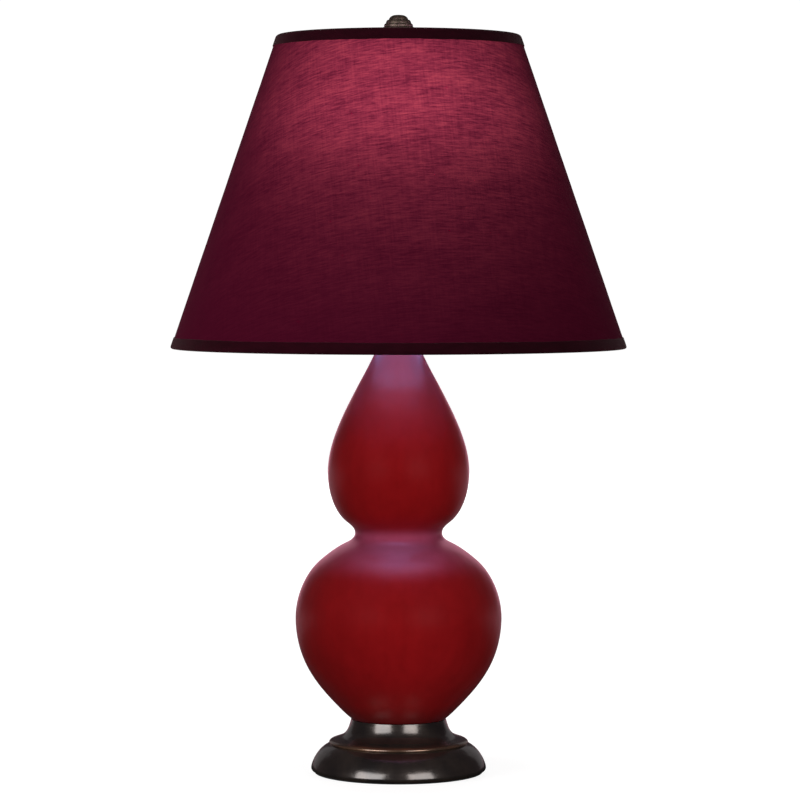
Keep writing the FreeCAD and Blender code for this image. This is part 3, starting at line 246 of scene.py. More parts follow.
# ---------------------------------------------------------------- shader building
class Shader:
    """A material built from nodes."""

    def __init__(self, name):
        self.material = bpy.data.materials.new(name)
        self.material.use_nodes = True
        self.tree = self.material.node_tree
        self.tree.nodes.clear()
        self.output = self.tree.nodes.new("ShaderNodeOutputMaterial")
        self.cache = {}

    def node(self, kind, inputs=None, **settings):
        n = self.tree.nodes.new(kind)
        for k, v in settings.items():
            setattr(n, k, v)
        for k, v in (inputs or {}).items():
            self.feed(n.inputs[k], v)
        return n

    def feed(self, socket, value):
        if isinstance(value, bpy.types.NodeSocket):
            self.tree.links.new(value, socket)
        elif value is not None:
            if socket.type == "RGBA" and len(value) == 3:
                value = (*value, 1.0)
            socket.default_value = value

    def coords(self, kind="Object"):
        if "coords" not in self.cache:
            self.cache["coords"] = self.node("ShaderNodeTexCoord")
        return self.cache["coords"].outputs[kind]

    def split(self, vector):
        n = self.node("ShaderNodeSeparateXYZ", {"Vector": vector})
        return n.outputs[0], n.outputs[1], n.outputs[2]

    def combine(self, x=0.0, y=0.0, z=0.0):
        return self.node("ShaderNodeCombineXYZ", {"X": x, "Y": y, "Z": z}).outputs[0]

    def scaled(self, vector, scale, move=(0, 0, 0), turn=(0, 0, 0)):
        return self.node("ShaderNodeMapping", {"Vector": vector, "Scale": scale, "Location": move, "Rotation": turn}).outputs[0]

    def noise(self, vector, scale=1.0, detail=2.0, rough=0.5, distortion=0.0):
        return self.node(
            "ShaderNodeTexNoise",
            {"Vector": vector, "Scale": scale, "Detail": detail, "Roughness": rough, "Distortion": distortion},
        ).outputs[0]

    def cells(self, vector, scale, randomness=1.0, output="Distance", feature="F1"):
        return self.node(
            "ShaderNodeTexVoronoi", {"Vector": vector, "Scale": scale, "Randomness": randomness}, feature=feature
        ).outputs[output]

    def math(self, operation, a, b=None, c=None, clamp=False):
        n = self.node("ShaderNodeMath", operation=operation, use_clamp=clamp)
        for i, v in enumerate((a, b, c)):
            if v is not None:
                self.feed(n.inputs[i], v)
        return n.outputs[0]

    def remap(self, value, low, high, to_low=0.0, to_high=1.0, kind="LINEAR"):
        return self.node(
            "ShaderNodeMapRange",
            {"Value": value, "From Min": low, "From Max": high, "To Min": to_low, "To Max": to_high},
            interpolation_type=kind,
        ).outputs[0]

    def mix(self, factor, a, b, blend="MIX"):
        n = self.node("ShaderNodeMix", data_type="RGBA", blend_type=blend)
        self.feed(n.inputs[0], factor)
        self.feed(n.inputs[6], a)
        self.feed(n.inputs[7], b)
        return n.outputs[2]

    def ramp(self, factor, stops, mode="LINEAR"):
        n = self.node("ShaderNodeValToRGB", {"Fac": factor})
        n.color_ramp.interpolation = mode
        for i, (at, colour) in enumerate(stops):
            e = n.color_ramp.elements[i] if i < 2 else n.color_ramp.elements.new(at)
            e.position = at
            e.color = (*colour, 1.0) if len(colour) == 3 else colour
        return n.outputs[0]

    def bump(self, height, distance, normal=None, strength=1.0):
        n = self.node("ShaderNodeBump", {"Height": height, "Distance": distance, "Strength": strength})
        if normal is not None:
            self.feed(n.inputs["Normal"], normal)
        return n.outputs[0]

    def principled(self, **inputs):
        return self.node("ShaderNodeBsdfPrincipled", {k.replace("_", " "): v for k, v in inputs.items()}).outputs[0]

    def finish(self, surface):
        self.tree.links.new(surface, self.output.inputs["Surface"])
        return self.material


def metal(name, low, high, rough=(0.25, 0.4), turned=0.0, grain=220.0, pits=0.0, metallic=1.0, depth=0.00002, spec=0.5):
    """A metal whose colour runs between low and high in soft patches, with fine grain, and with lathe lines where turned is over 0."""
    s = Shader(name)
    at = s.coords()
    patch = s.noise(at, 46.0, 4.0, 0.62)
    grit = s.noise(at, grain * 9, 2.0, 0.6)
    lines = s.noise(s.scaled(at, (30, 30, 2600)), 1.0, 2.0, 0.7)
    colour = s.mix(s.remap(patch, 0.32, 0.7), low, high)
    colour = s.mix(s.remap(grit, 0.35, 0.75, 0.0, 0.35), colour, tuple(0.55 * c for c in low))
    roughness = s.remap(s.math("ADD", s.math("MULTIPLY", patch, 0.6), s.math("MULTIPLY", grit, 0.4)), 0.3, 0.7, *rough)
    height = s.math("ADD", s.math("MULTIPLY", grit, 0.6), s.math("MULTIPLY", lines, turned))
    normal = s.bump(height, depth)
    if pits:
        spots = s.remap(s.cells(at, 900.0), 0.0, 0.22, 1.0, 0.0)
        normal = s.bump(s.math("MULTIPLY", spots, s.remap(patch, 0.45, 0.6)), -pits, normal)
    return s.finish(
        s.principled(
            Base_Color=colour, Metallic=metallic, Roughness=roughness, Normal=normal, Specular_IOR_Level=spec
        )
    )


def plastic(name, low, high, rough=(0.35, 0.5), grain=1500.0, depth=0.00002, sheen=0.0):
    """Moulded plastic, rubber or paper board: soft colour changes under a fine moulded grain."""
    s = Shader(name)
    at = s.coords()
    patch = s.noise(at, 38.0, 3.0, 0.6)
    grit = s.noise(at, grain, 3.0, 0.6)
    colour = s.mix(s.remap(s.math("ADD", s.math("MULTIPLY", patch, 0.7), s.math("MULTIPLY", grit, 0.3)), 0.35, 0.65), low, high)
    return s.finish(
        s.principled(
            Base_Color=colour,
            Roughness=s.remap(grit, 0.3, 0.7, *rough),
            Normal=s.bump(grit, depth),
            Sheen_Weight=sheen,
        )
    )


# ---------------------------------------------------------------- materials
def make_glaze():
    """Copper-red glaze: clear and glossy over a cloudy deep red, with faint runs, pooling darker above the foot and at
    the lip; the waist is darker by pooling and painted shade, the top of the higher lobe by painted shade, and a paler
    mauve band on the shoulder is a painted reflection of the lit lining.
    """
    s = Shader("oxblood_glaze")
    at = s.coords()
    x, y, z = s.split(at)
    cloud = s.noise(at, 13.0, 3.0, 0.55, 0.3)
    runs = s.noise(s.scaled(at, (95, 95, 7)), 1.0, 3.0, 0.6, 0.2)
    fine = s.noise(at, 160.0, 3.0, 0.6)
    depth = s.math("ADD", s.math("ADD", s.math("MULTIPLY", cloud, 0.5), s.math("MULTIPLY", runs, 0.3)), s.math("MULTIPLY", fine, 0.2))
    colour = s.mix(s.remap(depth, 0.36, 0.64), (0.320, 0.0058, 0.0078), (0.420, 0.0090, 0.0115))
    # Darker glaze: pooling above the foot and at the lip, and in the waist pooling together with painted shade under
    # the higher lobe.
    waist = s.math("MULTIPLY", s.remap(z, 0.178, 0.187, 0.0, 0.55, "SMOOTHSTEP"), s.remap(z, 0.184, 0.192, 1.0, 0.0, "SMOOTHSTEP"))
    pooling_and_painted_shade = s.math("ADD", s.remap(z, 0.043, 0.058, 0.6, 0.0, "SMOOTHSTEP"), s.remap(z, 0.3275, 0.3315, 0.0, 0.6, "SMOOTHSTEP"), clamp=True)
    pooling_and_painted_shade = s.math("ADD", pooling_and_painted_shade, waist, clamp=True)
    # Painted shade: the top of the higher lobe is darkened where the lights left it too bright.
    upper = s.math("MULTIPLY", s.remap(z, 0.238, 0.292, 0.0, 0.26, "SMOOTHSTEP"), s.remap(z, 0.300, 0.322, 1.0, 0.35, "SMOOTHSTEP"))
    pooling_and_painted_shade = s.math("ADD", pooling_and_painted_shade, upper, clamp=True)
    colour = s.mix(pooling_and_painted_shade, colour, (0.115, 0.0042, 0.0052))
    # Painted reflection: a paler mauve band on the shoulder stands in for the lit lining's reflection there.
    painted_lining_reflection = s.math("MULTIPLY", s.remap(z, 0.150, 0.183, 0.0, 1.0, "SMOOTHSTEP"), s.remap(z, 0.181, 0.192, 1.0, 0.0, "SMOOTHSTEP"))
    painted_lining_reflection = s.math("MULTIPLY", painted_lining_reflection, s.remap(depth, 0.36, 0.64, 0.60, 0.82))
    colour = s.mix(painted_lining_reflection, colour, (0.52, 0.092, 0.200))
    specks = s.remap(s.cells(at, 310.0), 0.0, 0.10, 1.0, 0.0, "SMOOTHSTEP")
    specks = s.math("MULTIPLY", specks, s.remap(s.noise(at, 60.0, 2.0), 0.5, 0.62))
    colour = s.mix(s.math("MULTIPLY", specks, 0.55), colour, (0.06, 0.004, 0.004))
    normal = s.bump(s.noise(at, 24.0, 2.0, 0.5), 0.0011)
    normal = s.bump(s.noise(at, 330.0, 2.0, 0.55), 0.000014, normal)
    normal = s.bump(specks, -0.00002, normal)
    return s.finish(
        s.principled(
            Base_Color=colour,
            Roughness=s.remap(fine, 0.3, 0.7, 0.38, 0.45),
            Specular_IOR_Level=0.28,
            Coat_Weight=0.5,
            Coat_Roughness=0.33,
            Coat_IOR=1.45,
            Normal=normal,
            Coat_Normal=normal,
        )
    )


def make_foot():
    """Oil-rubbed bronze: near black, brown where thin, rubbed through to copper on the ledge and the lower rim."""
    s = Shader("foot_bronze")
    at = s.coords()
    x, y, z = s.split(at)
    patch = s.noise(at, 34.0, 4.0, 0.62)
    grit = s.noise(at, 1300.0, 2.0, 0.6)
    smear = s.noise(s.scaled(at, (26, 26, 420)), 1.0, 4.0, 0.65)
    dark = s.mix(s.remap(patch, 0.35, 0.68), (0.030, 0.026, 0.025), (0.075, 0.058, 0.049))
    ledge = s.math("MULTIPLY", s.remap(z, 0.0212, 0.0232, 0.0, 1.0, "SMOOTHSTEP"), s.remap(z, 0.0243, 0.0262, 1.0, 0.0, "SMOOTHSTEP"))
    rim = s.remap(z, 0.0012, 0.0034, 0.55, 0.0, "SMOOTHSTEP")
    worn = s.math("MULTIPLY", s.math("ADD", ledge, rim, clamp=True), s.remap(s.math("ADD", s.math("MULTIPLY", smear, 0.6), s.math("MULTIPLY", patch, 0.4)), 0.38, 0.6), clamp=True)
    colour = s.mix(worn, dark, (0.215, 0.112, 0.066))
    streak = s.remap(smear, 0.3, 0.72)
    rough = s.remap(s.math("ADD", s.math("MULTIPLY", streak, 0.6), s.math("MULTIPLY", grit, 0.4)), 0.25, 0.75, 0.17, 0.27)
    normal = s.bump(s.math("ADD", s.math("MULTIPLY", grit, 0.35), s.math("MULTIPLY", smear, 0.65)), 0.00003)
    normal = s.bump(s.noise(at, 55.0, 2.0, 0.5), 0.0004, normal)
    return s.finish(
        s.principled(
            Base_Color=colour,
            Metallic=0.75,
            Roughness=rough,
            Normal=normal,
            Specular_IOR_Level=0.8,
            Coat_Weight=0.45,
            Coat_Roughness=0.15,
            Coat_IOR=1.6,
        )
    )


def make_felt():
    s = Shader("black_felt")
    at = s.coords()
    fibres = s.noise(s.scaled(at, (900, 900, 900)), 1.0, 5.0, 0.75, 1.5)
    patch = s.noise(at, 60.0, 3.0)
    colour = s.mix(s.remap(s.math("ADD", s.math("MULTIPLY", fibres, 0.7), s.math("MULTIPLY", patch, 0.3)), 0.35, 0.68), (0.012, 0.012, 0.013), (0.040, 0.039, 0.041))
    return s.finish(
        s.principled(
            Base_Color=colour, Roughness=0.96, Specular_IOR_Level=0.2, Sheen_Weight=0.35, Normal=s.bump(fibres, 0.0002)
        )
    )


def weave_height(s, x, y, warp_pitch, weft_pitch, wander):
    """Height of a plain weave over flat cloth coordinates in metres: threads that cross over and under in turn."""
    a = s.math("MULTIPLY", s.math("ADD", x, s.math("MULTIPLY", wander, warp_pitch * 0.7)), math.pi / warp_pitch)
    b = s.math("MULTIPLY", s.math("ADD", y, s.math("MULTIPLY", wander, weft_pitch * 0.7)), math.pi / weft_pitch)
    over = s.math("MULTIPLY", s.math("SINE", a), s.math("SINE", b))
    warp = s.math("MULTIPLY", s.math("ABSOLUTE", s.math("SINE", a)), s.math("ADD", s.math("MULTIPLY", over, 0.5), 0.5))
    weft = s.math("MULTIPLY", s.math("ABSOLUTE", s.math("SINE", b)), s.math("SUBTRACT", 0.5, s.math("MULTIPLY", over, 0.5)))
    return s.math("ADD", warp, weft)


def make_fabric():
    """Slub weave over the flat cut: uneven weft threads that catch or pass more light, fine warp, and painted light by
    height that stands in for the bulb's light through the cloth.
    """
    s = Shader("burgundy_slub_weave")
    x, y, _ = s.split(s.coords("UV"))
    wander = s.noise(s.combine(s.math("MULTIPLY", x, 30.0), s.math("MULTIPLY", y, 30.0)), 1.0, 2.0)

    def threads(along, across, seed, detail=2.0, rough=0.6):
        """Noise drawn out along the weft, with so many features to a metre each way."""
        lengths = s.combine(s.math("MULTIPLY", x, along), s.math("MULTIPLY", y, across), seed)
        return s.noise(lengths, 1.0, detail, rough)

    slub = threads(112.0, 1230.0, 1.7, 3.0, 0.62)
    thick = threads(76.0, 690.0, 5.1, 2.0, 0.62)
    flecks = threads(330.0, 1500.0, 8.8, 2.0, 0.7)
    warp = threads(760.0, 34.0, 9.3)
    cloud = threads(24.0, 60.0, 2.2, 3.0, 0.6)
    weave = weave_height(s, x, y, 0.00062, 0.00072, wander)
    uneven = s.math("MULTIPLY", slub, 0.34)
    for part, share in ((thick, 0.22), (flecks, 0.14), (warp, 0.12), (cloud, 0.18)):
        uneven = s.math("ADD", uneven, s.math("MULTIPLY", part, share))
    thin = s.remap(uneven, 0.41, 0.59, 0.42, 1.58)
    shade = s.remap(uneven, 0.40, 0.60, 0.0, 1.0)
    front = s.mix(shade, (0.080, 0.0035, 0.0182), (0.096, 0.0047, 0.0220))
    # Painted shade: the cloth is darker where the weave sinks between threads.
    front = s.mix(s.remap(weave, 0.1, 1.1, 0.25, 0.0), front, (0.040, 0.0016, 0.0085))
    through = s.node("ShaderNodeVectorMath", {0: s.mix(shade, (0.60, 0.056, 0.160), (0.64, 0.074, 0.142))}, operation="SCALE")
    s.feed(through.inputs["Scale"], thin)
    _, _, z = s.split(s.coords())
    # Painted light: emission by height stands in for the bulb's light passing through the cloth.
    painted_glow = s.math("MULTIPLY", s.ramp(s.remap(z, 0.325, 0.565), PAINTED_GLOW, "CARDINAL"), s.math("MULTIPLY", thin, 0.6))  # stays under 1, where a mix would clip it
    relief = s.math("ADD", s.math("MULTIPLY", weave, 0.4), s.math("MULTIPLY", slub, 0.6))
    normal = s.bump(relief, 0.00009)
    cloth = s.principled(
        Base_Color=front,
        Roughness=0.88,
        Specular_IOR_Level=0.08,
        Emission_Color=s.mix(painted_glow, (0, 0, 0), s.mix(shade, (1.0, 0.092, 0.236), (1.0, 0.128, 0.190))),
        Emission_Strength=0.425,
        Normal=normal,
    )
    behind = s.node("ShaderNodeBsdfTranslucent", {"Color": through.outputs[0], "Normal": normal}).outputs[0]
    both = s.node("ShaderNodeMixShader", {"Fac": THROUGH})
    s.feed(both.inputs[1], cloth)
    s.feed(both.inputs[2], behind)
    # The fuzz on the threads: a sheen that covers more of the cloth the flatter it is seen, and so also dims the
    # painted light and the light through the cloth towards the outline.
    fuzz = s.principled(
        Base_Color=front,
        Roughness=0.95,
        Specular_IOR_Level=0.05,
        Sheen_Weight=0.10,
        Sheen_Roughness=0.32,
        Sheen_Tint=(0.85, 0.50, 0.60),
        Normal=normal,
    )
    facing = s.node("ShaderNodeLayerWeight", {"Blend": 0.5}).outputs["Facing"]
    over = s.math("SUBTRACT", 1.0, s.math("POWER", s.math("SUBTRACT", 1.0, facing, clamp=True), 1.7), clamp=True)
    sheen = s.node("ShaderNodeMixShader", {"Fac": over})
    s.feed(sheen.inputs[1], both.outputs[0])
    s.feed(sheen.inputs[2], fuzz)
    both = sheen
    return s.finish(both.outputs[0])


# Painted light: how strongly the wall glows by height, 0 at the lower edge and 1 at the upper edge, standing in for the
# bulb's light through the cloth.
PAINTED_GLOW = [
    (at, (v, v, v))
    for at, v in (
        (0.00, 0.0),
        (1.00, 0.80),
        (0.07, 0.023),
        (0.16, 0.057),
        (0.31, 0.130),
        (0.44, 0.230),
        (0.53, 0.362),
        (0.62, 0.61),
        (0.715, 0.94),
        (0.80, 1.0),
        (0.90, 0.98),
    )
]
THROUGH = 0.019  # share of the cloth that simply passes light on


def make_tape():
    """Bias-cut woven tape, nearly black burgundy, with a slanting fine rib."""
    s = Shader("burgundy_bias_tape")
    x, y, _ = s.split(s.coords("UV"))
    slant = s.combine(s.math("MULTIPLY", s.math("ADD", x, y), 900.0), s.math("MULTIPLY", s.math("SUBTRACT", x, y), 120.0))
    rib = s.noise(slant, 1.0, 2.0, 0.6)
    cross = s.math("SINE", s.math("MULTIPLY", s.math("ADD", x, y), 2 * math.pi / 0.0011))
    patch = s.noise(s.combine(s.math("MULTIPLY", x, 60.0), s.math("MULTIPLY", y, 160.0), 4.0), 1.0, 3.0, 0.6)
    tone = s.math("ADD", s.math("MULTIPLY", rib, 0.5), s.math("MULTIPLY", patch, 0.5))
    colour = s.mix(s.remap(tone, 0.35, 0.65), (0.0190, 0.0014, 0.0045), (0.0360, 0.0024, 0.0085))
    height = s.math("ADD", s.math("MULTIPLY", rib, 0.7), s.math("MULTIPLY", cross, 0.3))
    return s.finish(
        s.principled(
            Base_Color=colour,
            Roughness=s.remap(rib, 0.3, 0.7, 0.62, 0.8),
            Specular_IOR_Level=0.28,
            Sheen_Weight=0.22,
            Sheen_Roughness=0.4,
            Sheen_Tint=(0.8, 0.5, 0.5),
            Normal=s.bump(height, 0.00012),
        )
    )


def make_liner():
    """Lavender-white laminated lining with the weave of the cloth pressed faintly through it."""
    s = Shader("lavender_lining")
    x, y, _ = s.split(s.coords("UV"))
    pressed = s.noise(s.combine(s.math("MULTIPLY", x, 40.0), s.math("MULTIPLY", y, 620.0), 1.7), 1.0, 3.0, 0.6)
    patch = s.noise(s.combine(s.math("MULTIPLY", x, 9.0), s.math("MULTIPLY", y, 14.0), 3.0), 1.0, 2.0, 0.5)
    tone = s.math("ADD", s.math("MULTIPLY", pressed, 0.5), s.math("MULTIPLY", patch, 0.5))
    colour = s.mix(s.remap(tone, 0.35, 0.65), (0.70, 0.39, 0.80), (0.78, 0.45, 0.87))
    return s.finish(
        s.principled(
            Base_Color=colour,
            Roughness=s.remap(pressed, 0.3, 0.7, 0.5, 0.68),
            Specular_IOR_Level=0.3,
            Normal=s.bump(pressed, 0.00008),
        )
    )


def make_bulb_glass():
    """Frosted glass of a lit bulb: brightest over the filament, dimmer towards the neck."""
    s = Shader("frosted_lit_glass")
    at = s.coords()
    _, _, z = s.split(at)
    frost = s.noise(at, 900.0, 3.0, 0.6)
    light = s.ramp(s.remap(z, 0.409, 0.4965), [(0.0, (0.16, 0.13, 0.11)), (1.0, (1.0, 0.97, 0.93)), (0.3, (0.5, 0.46, 0.42)), (0.6, (1.0, 0.98, 0.95))], "EASE")
    return s.finish(
        s.principled(
            Base_Color=s.mix(s.remap(frost, 0.3, 0.7), (0.86, 0.86, 0.87), (0.93, 0.93, 0.93)),
            Roughness=s.remap(frost, 0.3, 0.7, 0.32, 0.48),
            Specular_IOR_Level=0.5,
            Emission_Color=s.mix(s.remap(frost, 0.3, 0.7, 0.0, 0.06), light, (0.8, 0.8, 0.8)),
            Emission_Strength=9.0,
            Normal=s.bump(frost, 0.00003),
        )
    )


def make_clear_glass():
    s = Shader("clear_stem_glass")
    at = s.coords()
    waves = s.noise(at, 180.0, 2.0, 0.5)
    return s.finish(
        s.principled(
            Base_Color=s.mix(s.remap(waves, 0.3, 0.7), (0.9, 0.94, 0.94), (0.97, 0.98, 0.98)),
            Roughness=s.remap(waves, 0.3, 0.7, 0.02, 0.06),
            IOR=1.5,
            Transmission_Weight=0.9,
            Normal=s.bump(waves, 0.0001),
        )
    )


def make_finial():
    """Dark bronze in soft patches of brown and warmer metal, with fine turning lines."""
    s = Shader("finial_bronze")
    at = s.coords()
    patch = s.noise(at, 240.0, 3.0, 0.6)
    lines = s.noise(s.scaled(at, (60, 60, 3800)), 1.0, 2.0, 0.7)
    grit = s.noise(at, 2600.0, 2.0, 0.6)
    colour = s.mix(s.remap(patch, 0.35, 0.68), (0.080, 0.060, 0.045), (0.165, 0.128, 0.096))
    return s.finish(
        s.principled(
            Base_Color=colour,
            Metallic=0.8,
            Roughness=s.remap(s.math("ADD", s.math("MULTIPLY", lines, 0.5), s.math("MULTIPLY", patch, 0.5)), 0.3, 0.7, 0.42, 0.58),
            Specular_IOR_Level=0.6,
            Normal=s.bump(s.math("ADD", s.math("MULTIPLY", lines, 0.7), s.math("MULTIPLY", grit, 0.3)), 0.00003),
        )
    )


MATERIALS = {
    "foot_bronze": make_foot(),
    "ballast_iron": metal("cast_iron", (0.06, 0.056, 0.052), (0.13, 0.12, 0.11), (0.55, 0.8), 0.0, 120.0, 0.0002, 0.7, 0.0002),
    "felt": make_felt(),
    "black_plastic": plastic("black_plastic", (0.010, 0.010, 0.011), (0.020, 0.019, 0.019), (0.32, 0.46)),
    "steel": metal("zinc_plate", (0.42, 0.42, 0.41), (0.62, 0.61, 0.58), (0.22, 0.38), 0.5),
    "gasket_rubber": plastic("black_rubber", (0.014, 0.014, 0.014), (0.030, 0.030, 0.030), (0.7, 0.85), 900.0, 0.00004),
    "oxblood_glaze": make_glaze(),
    "brass": metal("brass", (0.50, 0.32, 0.12), (0.72, 0.50, 0.22), (0.2, 0.34), 0.6),
    "bronze_fittings": metal("dark_bronze", (0.050, 0.036, 0.027), (0.110, 0.080, 0.058), (0.28, 0.42), 0.6, 260.0, 0.0, 0.85),
    "sleeve_board": plastic("pressed_board", (0.28, 0.21, 0.13), (0.45, 0.35, 0.23), (0.8, 0.92), 1100.0, 0.00008),
    "phenolic": plastic("phenolic", (0.012, 0.010, 0.009), (0.030, 0.025, 0.020), (0.3, 0.44)),
    "finial_bronze": make_finial(),
    "ring_wire": plastic("white_enamel", (0.56, 0.54, 0.52), (0.68, 0.67, 0.64), (0.3, 0.45), 1200.0, 0.00003),
    "shade_liner": make_liner(),
    "shade_fabric": make_fabric(),
    "trim_tape": make_tape(),
    "bulb_glass": make_bulb_glass(),
    "bulb_cap": metal("rolled_aluminium", (0.58, 0.58, 0.58), (0.80, 0.80, 0.79), (0.2, 0.34), 0.4),
    "bulb_black_glass": plastic("vitrified_black", (0.008, 0.008, 0.011), (0.020, 0.020, 0.026), (0.08, 0.16), 400.0, 0.00003),
    "clear_glass": make_clear_glass(),
    "tungsten": metal("tungsten", (0.22, 0.20, 0.18), (0.36, 0.34, 0.30), (0.35, 0.5), 0.3),
}

SLOT_OF = {part["node"]: part["material_slot"] for part in frame["record"]["subparts"]}
for node, ob in NODES.items():
    finish = MATERIALS[SLOT_OF[node]]
    if not ob.material_slots:
        ob.data.materials.append(finish)
    for place in ob.material_slots:
        place.material = finish


def place(ob, body, slot, *stands_for):
    """Gives a new piece its finish and its body, and hides the CAD nodes that it stands for."""
    ob.data.materials.append(MATERIALS[slot])
    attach(ob, body)
    if stands_for:
        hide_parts(*stands_for)
    return ob


# ---------------------------------------------------------------- ceramic body
LOBE = [(36.7, 41.9), (40.21, 44.7), (46.5, 51.05), (55.74, 60.8), (64.14, 71.28), (71.11, 82.81), (75.95, 95.37), (78.59, 108.58), (79.28, 122.02), (77.01, 135.36), (72.03, 147.87), (64.49, 159.11), (53.93, 167.69), (43.24, 175.33), (33.3, 179.04), (33.3, 183.6)]
CROWN = [(33.3, 183.6), (33.3, 188.06), (41.75, 192.65), (48.88, 203.18), (52.96, 215.3), (54.47, 227.89), (53.64, 240.59), (50.7, 252.93), (46.35, 264.83), (41.21, 276.4), (35.49, 287.7), (29.66, 298.91), (23.44, 309.98), (18.1, 321.4), (13.68, 328.75), (13.3, 333.0)]

outside = even(join(spline(LOBE), spline(CROWN)), 1.6)


def inwards(points, wall):
    """The points moved in by the wall's thickness, square to the line."""
    p = np.array(points, float)
    t = np.gradient(p, axis=0)
    t /= np.hypot(t[:, 0], t[:, 1])[:, None]
    q = p + wall * np.stack([-t[:, 1], t[:, 0]], 1)
    return [tuple(v) for v in q.tolist()]


inside = [p for p in inwards(even(outside, 4.0), 4.5)]
inside = [(max(r, 8.8), z) for r, z in inside if 49.0 < z < 326.0]
lip = rounded([(13.3, 331.0), (13.3, 333.0, 1.2), (8.8, 333.0, 1.2), (8.8, 327.0)], steps=6)
foot = rounded([(5.5, 49.0), (5.5, 41.2, 0.6), (35.4, 41.2, 0.9), (36.7, 42.2), (37.2, 42.5)], steps=4)
body_profile = join(
    [(5.5, 48.2)],
    foot[1:-2],
    [p for p in outside if p[1] > 42.0 and p[1] < 331.6],
    lip[1:-1],
    [(8.8, 326.2)],
    inside[::-1],
    [(33.0, 46.6), (30.0, 45.9), (5.5, 45.9)],
)


def thrown(i, r, z, a):
    """The slight unevenness of a slip-cast and fettled pot, well under the CAD's own tolerance on looks."""
    wave = math.sin(2 * a + z * 0.013) * 0.5 + math.sin(3 * a - z * 0.021 + 1.3) * 0.3
    swell = smooth_step(z, 48, 70) * (1 - smooth_step(z, 300, 326))
    return r * (1 - 0.0009 * swell * (1 + wave) * 0.5), z, a


gourd = lathe("ceramic_gourd", body_profile, 224, closed=True, bend=thrown, sharp=48)
place(gourd, "lamp_body", "oxblood_glaze", "ceramic_body")

# ---------------------------------------------------------------- foot
SKIRT = [(67.0, 3.6), (66.92, 5.24), (65.84, 8.4), (63.61, 12.77), (60.66, 16.78), (56.98, 20.08), (54.03, 21.62), (52.5, 22.2)]
LEDGE = [(52.5, 22.2), (53.7, 22.73), (52.92, 24.78), (50.08, 25.54), (47.56, 26.53), (44.87, 27.36), (42.45, 28.73), (40.36, 30.6), (38.91, 33.0), (37.87, 35.57), (37.03, 38.22), (36.55, 40.01), (36.3, 40.9)]
foot_profile = join(
    [(61.0, 1.2), (61.3, 1.2)],
    rounded([(61.3, 1.2), (65.0, 1.2, 0.5), (66.1, 1.9)], steps=4)[1:-1],
    bulge((65.7, 1.5), (67.0, 3.6), 2.4, -1, 6),
    even(spline(SKIRT), 0.8),
    even(spline(LEDGE, 10), 0.6),
    [(36.1, 41.0), (35.4, 41.0), (34.0, 40.9), (34.0, 40.2), (5.5, 40.2), (5.5, 36.0), (32.9, 36.0), (34.5, 31.0), (37.5, 26.6), (44.0, 23.2), (50.0, 19.2), (56.8, 14.6), (61.4, 8.8), (62.4, 4.6)],
)
base = lathe("bronze_foot", foot_profile, 224, closed=True, sharp=40)

# The cord's way out at the back is cut through the casting, as it is in the CAD.
hole_ring = [(4.35 * math.cos(2 * math.pi * k / 48), 4.35 * math.sin(2 * math.pi * k / 48) + 9.2) for k in range(48)]
drill_points = [(x, 56.0, z) for x, z in hole_ring] + [(x, 72.0, z) for x, z in hole_ring]
drill_faces = [[k, (k + 1) % 48, 48 + (k + 1) % 48, 48 + k] for k in range(48)] + [list(range(48))[::-1], list(range(48, 96))]
drill = mesh_object("drill", drill_points, drill_faces)
cut = base.modifiers.new("cord_way", "BOOLEAN")
cut.operation, cut.solver, cut.object = "DIFFERENCE", "EXACT", drill
bpy.context.view_layer.update()
cut_mesh = bpy.data.meshes.new_from_object(base.evaluated_get(bpy.context.evaluated_depsgraph_get()))
base.modifiers.clear()
base.data = cut_mesh
base.data.name = "bronze_foot"
bpy.data.objects.remove(drill)
place(base, "lamp_body", "foot_bronze", "base_foot")

# ---------------------------------------------------------------- finial
F0, F1, FR = 551.05, 578.0, 12.5
finial_profile = join(
    [(3.3, F0 + 0.6), (3.7, F0 + 0.1), (4.0, F0)],
    [(7.3, F0)],
    bulge((7.6, F0 + 0.05), (8.0, F0 + 2.4), 1.3, -1, 8),
    [(7.75, F0 + 2.6), (6.3, F0 + 2.62), (6.0, F0 + 2.9)],
    bulge((6.0, F0 + 2.9), (6.2, F0 + 7.6), 4.6, 1, 8),
    bulge((6.2, F0 + 7.6), (FR - 0.2, F0 + 14.0), 9.6, -1, 14),
    bulge((FR - 0.2, F0 + 14.0), (FR - 0.75, F0 + 17.55), 3.4, -1, 10),
    [(FR - 1.0, F0 + 17.75), (FR - 1.75, F0 + 17.8), (FR - 1.8, F0 + 18.1)],
    bulge((FR - 1.45, F0 + 18.2), (FR - 2.1, F0 + 20.2), 2.9, -1, 8),
    [(FR - 2.35, F0 + 20.3), (FR - 3.1, F0 + 20.35), (FR - 3.1, F0 + 20.6)],
    bulge((FR - 2.85, F0 + 20.7), (FR - 4.0, F0 + 23.0), 3.4, -1, 8),
    [(FR - 4.4, F0 + 23.15), (FR - 5.3, F0 + 23.2), (FR - 5.35, F0 + 23.45)],
    spline([(FR - 5.1, F0 + 23.5), (FR - 5.5, F1 - 2.2), (FR - 6.9, F1 - 0.9), (FR - 9.1, F1), (0, F1)], 8),
)
# The bore from below, up to its blind end, closes the piece.
bore = [(0.0, F0 + 15.45), (3.22, F0 + 15.45), (3.22, F0 + 0.7)]
finial = lathe("turned_finial", join(bore, finial_profile), 128, sharp=38)
place(finial, "finial", "finial_bronze", "finial")

# ---------------------------------------------------------------- shade
def wall_r(z, inset=0.0):
    """Radius of the shade's outer cone at a height, less a level inset."""
    return EDGE_R - (z - EDGE_LOW) * LEAN - inset


